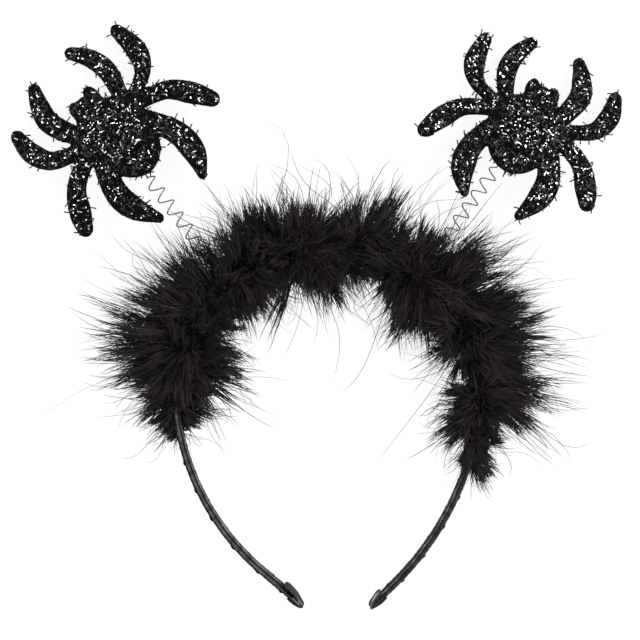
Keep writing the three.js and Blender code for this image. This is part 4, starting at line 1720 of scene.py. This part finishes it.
    def plumes(self) -> tuple[Array, Array, Array, Array]:
        """Set out the plumes in tufts, none in front of the left end and none inside the right end.

        Returns:
            Each plume's root, direction, length and place along the band.
        """
        random = self.random
        tuft_station = np.linspace(self.start + self.tuft_inset, self.end - self.tuft_inset, self.tufts)
        ways = np.resize(np.radians(self.tuft_ways), self.tufts)
        bare = tuft_station < self.start + self.bare_end
        ways = np.where(bare & (np.sin(ways) > self.front_from), 0.0, ways)
        covered = tuft_station > self.end - self.covered_end
        ways = np.where(covered & (np.cos(ways) < self.inside_from), np.pi / 2, ways)
        tuft_around = ways + random.normal(0, self.tuft_spread, self.tufts)
        upright = np.abs(np.sin(tuft_around))
        tuft_lean = random.normal(0, self.tuft_sway, self.tufts) * (1 + self.upright_sway * upright)
        tuft_long = random.uniform(*self.tuft_lengths, self.tufts)
        each = np.repeat(np.arange(self.tufts), self.plumes_per_tuft)
        count = len(each)
        scattered = tuft_station[each] + random.normal(0, self.plume_scatter, count)
        station = np.clip(scattered, self.start, self.end)
        around = tuft_around[each] + random.normal(0, self.plume_spread, count)
        lean = tuft_lean[each] + random.normal(0, self.plume_sway, count)
        point, way = self.frames(station, around, lean)
        long = self.overreach * tuft_long[each] * random.uniform(*self.plume_lengths, count)
        return point + self.plume_root * way, way, self.reach(station, around) * long, station

    def locks(self) -> tuple[Array, Array, Array]:
        """Grow the locks along every plume, each an arc that turns in towards the plume's tip.

        Returns:
            The middle of each lock, its length and its place along the band.
        """
        random = self.random
        root, way, length, station = self.plumes()
        each = np.repeat(np.arange(len(root)), self.locks_per_plume)
        count = len(each)
        share = self.first_lock + self.lock_run * random.random(count) ** self.lock_bias
        angle = np.radians(self.lock_angle - self.lock_angle_drop * share)
        spread = angle * random.uniform(*self.lock_openings, count)
        turn = self._turns(count)
        helper = unit(np.cross(way, way[:, [1, 2, 0]] + 0.31))
        other = np.cross(way, helper)
        side = np.cos(turn)[:, None] * helper[each] + np.sin(turn)[:, None] * other[each]
        shorter = self.lock_length - self.lock_length_drop * share
        reach = length[each] * shorter * random.uniform(*self.lock_lengths, count)
        begin = root[each] + way[each] * (length[each] * share)[:, None]
        bend = spread * self.turn_in
        points = np.empty((count, len(self.knots), 3))
        for knot, t in enumerate(self.knots):
            left = spread - bend * t
            ahead = reach * (np.sin(spread) - np.sin(left)) / bend
            aside = reach * (np.cos(left) - np.cos(spread)) / bend
            points[:, knot] = begin + ahead[:, None] * way[each] + aside[:, None] * side
        return points, reach, station[each]

    def barbs(self) -> tuple[Array, Array]:
        """Spread every lock into barbs that come together at its tip.

        Returns:
            The barbs' knots in the part's frame, and their places along the band.
        """
        random = self.random
        middle, reach, station = self.locks()
        each = np.repeat(np.arange(len(middle)), self.barbs_per_lock)
        count = len(each)
        t = np.array(self.knots)[None, :, None]
        aside = random.normal(0, self.lock_width, (count, 1, 3)) * reach[each, None, None]
        loose = random.choice(self.looseness, len(middle), p=self.loose_chances) * reach
        wander = random.normal(0, 1, (count, 1, 3)) * loose[each, None, None]
        stretch = random.uniform(*self.barb_lengths, (count, 1, 1))
        stretch = stretch + self.barb_overshoot * random.random((count, 1, 1)) ** self.overshoot_bias
        begin = middle[each, :1]
        points = begin + (middle[each] - begin) * stretch
        points = points + aside * (1 - self.gather * t) + wander * t**2
        return self.laid(points), station[each]

    def laid(self, points: Array) -> Array:
        """Press the upper plumes down a little, and carry all of them onto the floor.

        Args:
            points: Places in the hoop's plane.

        Returns:
            Places in the part's frame, none under the floor.
        """
        pressed = points.copy()
        low = self.ceiling * np.tanh(points[..., 2] * self.flatten / self.ceiling)
        pressed[..., 2] = np.where(points[..., 2] > 0, low, points[..., 2])
        clear = self.floor_clear + self.floor_uneven * self.random.random(points.shape[:-1])
        return above_floor(self.hoop.to_part(pressed), clear)

    def core(self) -> bpy.types.Object:
        """Make the soft core that the plumes close over.

        Returns:
            The core.
        """
        rows, columns = self.core_rows, self.core_columns
        stations = np.linspace(self.start + self.inset, self.end - self.inset, rows)
        around = 2 * np.pi * np.arange(columns) / columns
        station, angle = np.repeat(stations, columns), np.tile(around, rows)
        point, out = self.hoop.at(station)
        way = np.cos(angle)[:, None] * out + np.sin(angle)[:, None] * FRONT
        lumps = np.sin(0.7 * station + 3 * angle) * np.sin(0.43 * station - 2 * angle)
        radius = self.core_share * self.reach(station, angle) * (1 + self.core_lumps * lumps)
        from_end = np.minimum(station - self.start, self.end - station)
        ends = np.clip(from_end / self.core_end, self.core_tip, 1) ** 0.5
        radius = np.maximum(radius, self.core_least) * ends
        skin = point + radius[:, None] * way * np.array([1.0, 1.0, self.core_height])
        closed = capped(self.laid(skin.reshape(rows, columns, 3)))
        return mesh_piece("marabou_core", closed.reshape(-1, 3), grid_quads(len(closed), columns))

    def short_down(self) -> bpy.types.Object:
        """Make the short barbs that close the gaps between the tufts, some gathered at the left end.

        Returns:
            The joined barbs.
        """
        random = self.random
        count = self.underdown
        station = random.uniform(self.start + self.inset, self.end - self.inset, count)
        at_left_end = station[: self.end_down] - self.start
        station[: self.end_down] = self.start + self.end_share * at_left_end
        around = random.uniform(-np.pi, np.pi, count)
        around = np.where(station < self.start + self.bare_end, -np.abs(around), around)
        point, way = self.frames(station, around, random.normal(0, self.underdown_sway, count))
        reach = self.reach(station, around)[:, None, None]
        way = unit(way + random.normal(0, self.underdown_stray, (count, 3)))[:, None]
        t = np.linspace(0, 1, len(self.underdown_taper))[None, :, None]
        curl = random.normal(0, self.underdown_curl, (count, 1, 3))
        length = reach * random.uniform(*self.underdown_lengths, (count, 1, 1))
        begin = point[:, None] + self.underdown_root * reach * way
        points = begin + length * (way * t + curl * t**2)
        fineness = random.uniform(*self.underdown_fineness, count)
        radii = self.underdown_radius * fineness[:, None] * np.array(self.underdown_taper)[None]
        turns = self._turns(count)
        return strand_piece("marabou_short_down", self.laid(points), radii, turns)

    def hairs(self, kind: Hairs, around: Array) -> bpy.types.Object:
        """Make long loose hairs.

        Args:
            kind: What the hairs are like.
            around: The angle round the band at which each wisp leaves it.

        Returns:
            The joined hairs.
        """
        random, wisps, single = self.random, kind.wisps, kind.strands == 1
        each = np.repeat(np.arange(wisps), kind.strands)
        count, knots = len(each), self.single_knots if single else self.strand_knots
        station = random.uniform(self.start, self.end, wisps)
        point, way = self.frames(station, around, random.normal(0, kind.lean, wisps))
        low, high = kind.reaches
        share = low + (high - low) * random.random(wisps) ** self.hair_bias
        reach = self.reach(station, around)
        if single:
            reach = np.maximum(reach, inner_to_outer(SHORTEST_HAIRS, station, around))
        tip = point + np.minimum(reach * share, self.most_hair)[:, None] * way
        scattered = station[each] + random.normal(0, self.strand_scatter, count) * (not single)
        root, _ = self.hoop.at(scattered)
        span = tip[each] - root
        length = np.linalg.norm(span, axis=1)[:, None, None]
        splay = random.uniform(*self.hair_splays, wisps)[each, None] * random.normal(size=(count, 3))
        span = span[:, None] + splay[:, None] * length
        span = span * random.uniform(*self.hair_lengths, (count, 1, 1))
        curl = random.normal(0, kind.curl, (wisps, 1, 3))
        curl = np.clip(curl, -self.most_curl, self.most_curl)[each]
        curl = curl + random.normal(0, self.strand_curl, (count, 1, 3))
        second = random.normal(0, self.second_curl * kind.curl, (count, 1, 3))
        t = np.linspace(self.hair_root, 1, knots)[None, :, None]
        bend = curl * t**2 + second * np.sin(2 * np.pi * t)
        points = root[:, None] + t * span + length * bend
        taper = np.linspace(1, self.hair_tip, knots)[None]
        radii = kind.radius * random.uniform(*self.hair_fineness, count)[:, None] * taper
        turns = self._turns(count)
        return strand_piece(kind.name, self.laid(points), radii, turns)


# The sky's brightness: height of a direction, from the horizon at 0 to straight up at 1, and share
SKY = ((0.0, 1.0), (0.35, 1.0), (0.6, 0.7), (0.8, 0.4), (0.92, 0.05), (1.0, 0.05))


@dataclass
class Studio:
    """A pale lit table under soft light from all sides, and a camera that looks straight down.

    The floor, the key lamp and the nearest that the camera sees are given in metres.
    """

    hoop: Hoop
    lens: float = 100.0
    sensor: float = 36.0
    nearest: float = 0.01
    height: float = 723.0
    aim: tuple[float, float] = (-3.2, 32.0)
    floor_size: float = 6.0
    floor_shade: str = "#525252"
    floor_roughness: float = 0.9
    floor_gloss: float = 0.1
    floor_glow: float = 0.88
    sky: float = 4.0
    key_place: tuple[float, float, float] = (0.95, 0.1, 0.85)
    key_size: float = 0.8
    key_energy: float = 14.0

    def build(self) -> None:
        """Make the floor, the light and the camera."""
        scene = bpy.context.scene
        scene.view_settings.view_transform = "Standard"
        self._floor()
        self._light()
        camera = bpy.data.cameras.new("camera")
        camera.lens = self.lens
        camera.sensor_width = self.sensor
        camera.clip_start = self.nearest
        view = bpy.data.objects.new("camera", camera)
        x, y = self.hoop.centre[0] + self.aim[0], self.hoop.centre[1] + self.aim[1]
        view.location = Vector((x, y, self.height)) * MM
        scene.collection.objects.link(view)
        scene.camera = view

    def _floor(self) -> None:
        """Lay the floor, a sheet of opal acrylic lit from below: even and very pale."""
        half = self.floor_size / MM / 2
        corners = np.array([[-half, -half, 0], [half, -half, 0], [half, half, 0], [-half, half, 0]])
        floor = mesh_piece("floor", corners, np.array([[0, 1, 2, 3]]), smooth=False)
        material, tree = new_material("lit_opal_acrylic")
        shader = add_node(
            tree,
            "ShaderNodeBsdfPrincipled",
            {
                "Base Color": linear_colour(self.floor_shade),
                "Roughness": self.floor_roughness,
                "Specular IOR Level": self.floor_gloss,
                "Emission Color": linear_colour("#ffffff"),
                "Emission Strength": self.floor_glow,
            },
        )
        add_node(tree, "ShaderNodeOutputMaterial", links={"Surface": shader.outputs[0]})
        floor.data.materials.append(material)

    def _light(self) -> None:
        """Light the scene with a ring of soft light, dim overhead, and one soft key lamp."""
        world = bpy.data.worlds.new("soft_sky")
        world.use_nodes = True
        tree = world.node_tree
        tree.nodes.clear()
        place = add_node(tree, "ShaderNodeTexCoord")
        split = add_node(tree, "ShaderNodeSeparateXYZ", links={0: place.outputs["Generated"]})
        ramp = add_node(tree, "ShaderNodeValToRGB", links={0: split.outputs["Z"]})
        stops = ramp.color_ramp.elements
        while len(stops) < len(SKY):
            stops.new(0.5)
        for stop, (height, share) in zip(stops, SKY):
            stop.position = height
            stop.color = (share, share, share, 1.0)
        sky = add_node(
            tree, "ShaderNodeBackground", {"Strength": self.sky}, {"Color": ramp.outputs["Color"]}
        )
        add_node(tree, "ShaderNodeOutputWorld", links={"Surface": sky.outputs[0]})
        bpy.context.scene.world = world
        lamp = bpy.data.lights.new("key_lamp", "AREA")
        lamp.energy = self.key_energy
        lamp.size = self.key_size
        key = bpy.data.objects.new("key_lamp", lamp)
        key.location = self.key_place
        key.rotation_euler = Vector(key.location).to_track_quat("Z", "Y").to_euler()
        bpy.context.scene.collection.objects.link(key)


def main() -> None:
    """Build every sub-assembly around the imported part."""
    logging.basicConfig(level=logging.INFO, format="%(name)s: %(message)s")
    for leftover in list(bpy.data.objects):
        bpy.data.objects.remove(leftover)
    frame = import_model()
    hoop = Hoop()
    Studio(hoop).build()
    ribbon = SatinRibbon().material()
    RibbonBand(hoop).build(ribbon)
    for side in Side:
        EndFold(hoop, side).build(ribbon)
    wire, foam = SpringSteel().material(), CraftFoam().material()
    black, bright = BLACK_TINSEL.material(), GLINT_TINSEL.material()
    left = CoilSpring(hoop, Side.LEFT, foot_angle=130.3, leaves=127.2, turns=8.8, phase=0.82)
    right = CoilSpring(hoop, Side.RIGHT, foot_angle=53.8, leaves=54.5, turns=8.75, phase=0.35)
    for spring in (left, right):
        spring.build(wire)
        node = frame["nodes"][f"{spring.side.word}_spider"]
        TinselSpider(spring, node).build(foam, black, bright)
    trim = FeatherTrim(hoop)
    trim.build(DOWN_BARBS.material(), DOWN_CORE.material(), DOWN_STRAYS.material())


if __name__ == "__main__":
    main()
